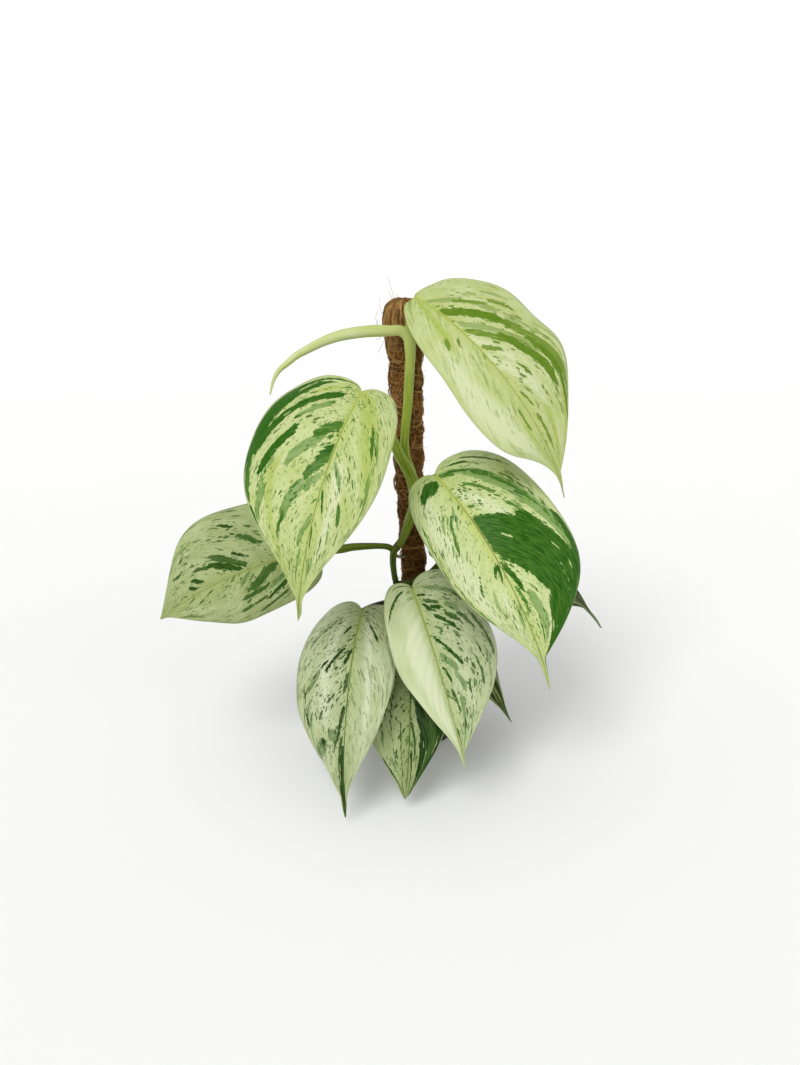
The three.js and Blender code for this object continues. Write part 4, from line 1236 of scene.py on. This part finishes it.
def mix_radius(z):
    """Radius of the potting mix, just inside the wall."""
    return pot_radius(z) - POT["wall"] - MIX["gap"]


def pot():
    """The nursery pot: a turned wall with a stepped lip, and a flat floor with drain holes."""
    rim, top, step = POT["rim_radius"], POT["height"], POT["lip_depth"]
    lip_foot = top - POT["lip_height"]
    wall_there, inside = pot_radius(lip_foot), rim - step - POT["wall"]
    profile = [
        (POT["base_radius"] - POT["corner"], 0), (pot_radius(0) - 0.7, 0.25),
        (pot_radius(POT["corner"]), POT["corner"]), (pot_radius(20), 20), (pot_radius(45), 45),
        (wall_there, lip_foot), (wall_there + step * 0.75, lip_foot + 0.15),
        (wall_there + step, lip_foot + 0.8), (rim - 0.25, top - 1.6), (rim - 0.1, top - 0.8),
        (rim - 0.5, top - 0.2), (rim - 1.2, top), (inside + 0.6, top), (inside, top - 0.8),
        (pot_radius(POT["floor"]) - POT["wall"], POT["floor"]),
    ]
    sides, drain_sides = 96, 24
    rings = np.array([on_ring(radius, around(sides), z) for radius, z in profile])
    shape = Shape().add(rings.reshape(-1, 3), ring_faces(len(profile), sides))

    middles = on_ring(POT["drain_circle"], around(POT["drains"]), 0)
    drains = [middle + on_ring(POT["drain_radius"], around(drain_sides), 0) for middle in middles]
    for outline, z, down in ((rings[0], 0.0, True), (rings[-1], POT["floor"], False)):
        loops = [[Vector((x, y, 0)) for x, y, _ in loop] for loop in [outline] + drains]
        points = np.array([(v.x, v.y, z) for loop in loops for v in loop])
        faces = []
        for triangle in geometry.tessellate_polygon(loops):
            a, b, c = [points[i] for i in triangle]
            upward = np.cross(b - a, c - a)[2] > 0
            faces.append(list(triangle) if upward != down else list(reversed(triangle)))
        shape.add(points, faces)
    for drain in drains:
        shape.add(np.vstack([drain, drain + [0, 0, POT["floor"]]]), ring_faces(2, drain_sides, flip=True))
    piece = shape.piece("nursery_pot", pot_material(), "pot_plastic", replaces=("pot",))
    piece.data.set_sharp_from_angle(angle=math.radians(50))
    return piece


def mix_height(x, y):
    """Height of the potting mix: a low crown that drops a little at the wall, with a rough crumb."""
    share = np.hypot(x, y) / mix_radius(MIX["surface"])
    crown = MIX["crown"] * (1 - smoothstep(0.35, 1.0, share))
    edge = -1.6 * smoothstep(0.88, 1.0, share)
    return MIX["surface"] + crown + edge + 0.45 * waves(x, y, 13, 3) + 0.28 * waves(x, y, 4.2, 4)


def potting_mix():
    """The body of the mix with its uneven top, and the crumbs, bark and grit that lie on it."""
    rings, sides = 42, 128
    angle = around(sides)
    reach = np.linspace(0.02, 1.0, rings) * mix_radius(MIX["surface"] - 2)
    r, t = np.meshgrid(reach, angle, indexing="ij")
    x, y = r * np.cos(t), r * np.sin(t)
    top = np.stack([x, y, mix_height(x, y)], -1).reshape(-1, 3)
    points = np.vstack([top] + [on_ring(mix_radius(z), angle, z) for z in (45, 25, MIX["bottom"])])
    count = len(points)
    faces = ring_faces(count // sides, sides, flip=True)
    faces += [list(range(count - 1, count - 1 - sides, -1)), list(range(sides))]
    shape = Shape().add(points, faces, fibre=fibre_field(random.random(count) * 0.6, points))
    peat = mix_material("peaty_mix", (30, 20, 13), (70, 50, 34), (18, 12, 8))
    shape.piece("potting_mix_surface", peat, "potting_mix", replaces=("potting_mix",))

    scatter("mix_crumbs", 520, (0.7, 1.9), (1.0, 1.0, 0.8), peat)
    bark = mix_material("bark_chips", (58, 38, 24), (122, 86, 54), (34, 22, 14))
    scatter("mix_bark_chips", 84, (2.0, 4.2), (1.0, 0.62, 0.36), bark)
    mineral = mix_material("white_grit", (176, 172, 160), (222, 220, 210), (120, 108, 92))
    scatter("mix_white_grit", 46, (0.7, 1.4), (1.0, 0.9, 0.8), mineral)


def scatter(name, count, sizes, form, material):
    """Uneven lumps of twenty sides that lie half sunk in the top of the mix, clear of the pole."""
    ratio = (1 + 5 ** 0.5) / 2
    corners = np.array([(-1, ratio, 0), (1, ratio, 0), (-1, -ratio, 0), (1, -ratio, 0), (0, -1, ratio),
                        (0, 1, ratio), (0, -1, -ratio), (0, 1, -ratio), (ratio, 0, -1), (ratio, 0, 1),
                        (-ratio, 0, -1), (-ratio, 0, 1)]) / 1.9
    faces = [(0, 11, 5), (0, 5, 1), (0, 1, 7), (0, 7, 10), (0, 10, 11), (1, 5, 9), (5, 11, 4),
             (11, 10, 2), (10, 7, 6), (7, 1, 8), (3, 9, 4), (3, 4, 2), (3, 2, 6), (3, 6, 8),
             (3, 8, 9), (4, 9, 5), (2, 4, 11), (6, 2, 10), (8, 6, 7), (9, 8, 1)]
    pole_x, pole_room = 2, 11.5
    shape = Shape()
    lying = 0
    while lying < count:
        reach = math.sqrt(random.random()) * (mix_radius(MIX["surface"]) - sizes[1])
        angle = random.uniform(0, CIRCLE)
        x, y = reach * math.cos(angle), reach * math.sin(angle)
        if math.hypot(x - pole_x, y) < pole_room + sizes[1]:
            continue
        lying += 1
        size = random.uniform(*sizes)
        lump = corners * np.array(form) * random.uniform(0.75, 1.25, (12, 1)) * size
        spin, tip = random.uniform(0, CIRCLE), random.normal(0, 0.35)
        cos, sin = math.cos(tip), math.sin(tip)
        lump = lump @ np.array([[1, 0, 0], [0, cos, sin], [0, -sin, cos]])
        cos, sin = math.cos(spin), math.sin(spin)
        lump = lump @ np.array([[cos, sin, 0], [-sin, cos, 0], [0, 0, 1]])
        lump = lump + [x, y, float(mix_height(x, y)) + 0.25 * size * form[2]]
        shape.add(lump, faces, fibre=fibre_field(np.full(12, random.random()), lump))
    return shape.piece(name, material, "potting_mix", smooth=False)


# Floor, lights and camera

def stage():
    """A pale floor that rises into a round wall, so every view has the same plain ground."""
    profile = [(0, 0), (1.5, 0), (1.9, 0.03), (2.3, 0.16), (2.6, 0.42), (2.75, 0.8), (2.8, 1.2)]
    sides = 64
    points = np.vstack([on_ring(radius, around(sides), z) for radius, z in profile])
    mesh = bpy.data.meshes.new("studio_floor")
    mesh.from_pydata(points.tolist(), [], ring_faces(len(profile), sides))
    mesh.polygons.foreach_set("use_smooth", [True] * len(mesh.polygons))
    net = Net("studio_paper")
    tooth = net.noise(net.place(), 400.0, 2)
    mesh.materials.append(net.finish(Base_Color=(0.90, 0.90, 0.895, 1), Roughness=0.9,
                                     Specular_IOR_Level=0.2, Normal=net.bump(tooth, 0.0002, 0.2)))
    floor = placed("studio_floor", mesh)


def sunlight(name, source, strength, softness):
    """Even light from a far, broad source; softness is the angle that it spans, in degrees."""
    data = bpy.data.lights.new(name, "SUN")
    data.energy = strength
    data.angle = math.radians(softness)
    lamp = placed(name, data)
    lamp.location = source
    lamp.rotation_euler = (-Vector(source)).to_track_quat("-Z", "Y").to_euler()


def camera():
    """The photograph's view: level across, looking down from the front."""
    data = bpy.data.cameras.new("photo_view")
    data.sensor_fit = "VERTICAL"
    data.sensor_height = 36
    data.lens = data.sensor_height * CAMERA["focal_pixels"] / CAMERA["picture_height"]
    data.clip_start = 0.02
    view = placed("photo_view", data)
    view.location = CAMERA["place"]
    view.rotation_euler = (math.radians(90 - CAMERA["down"]), 0, 0)
    bpy.context.scene.camera = view


def studio():
    """Floor, a soft key light from the left, a weak fill from the right, and white air."""
    stage()
    sunlight("key", (-0.45, -0.95, 1.25), 1.55, 28)
    sunlight("fill", (0.9, -1.1, 0.6), 0.55, 50)
    world = bpy.data.worlds.new("studio_air")
    world.use_nodes = True
    air = world.node_tree.nodes["Background"].inputs
    air["Color"].default_value = (1, 1, 1, 1)
    air["Strength"].default_value = 0.62
    bpy.context.scene.world = world
    bpy.context.scene.view_settings.view_transform = "Standard"
    camera()


for number, leaf in enumerate(LEAVES):
    leaf_blade(leaf, number)
vine()
aerial_roots()
rolled_leaf()
coir_pole()
pot()
potting_mix()
studio()
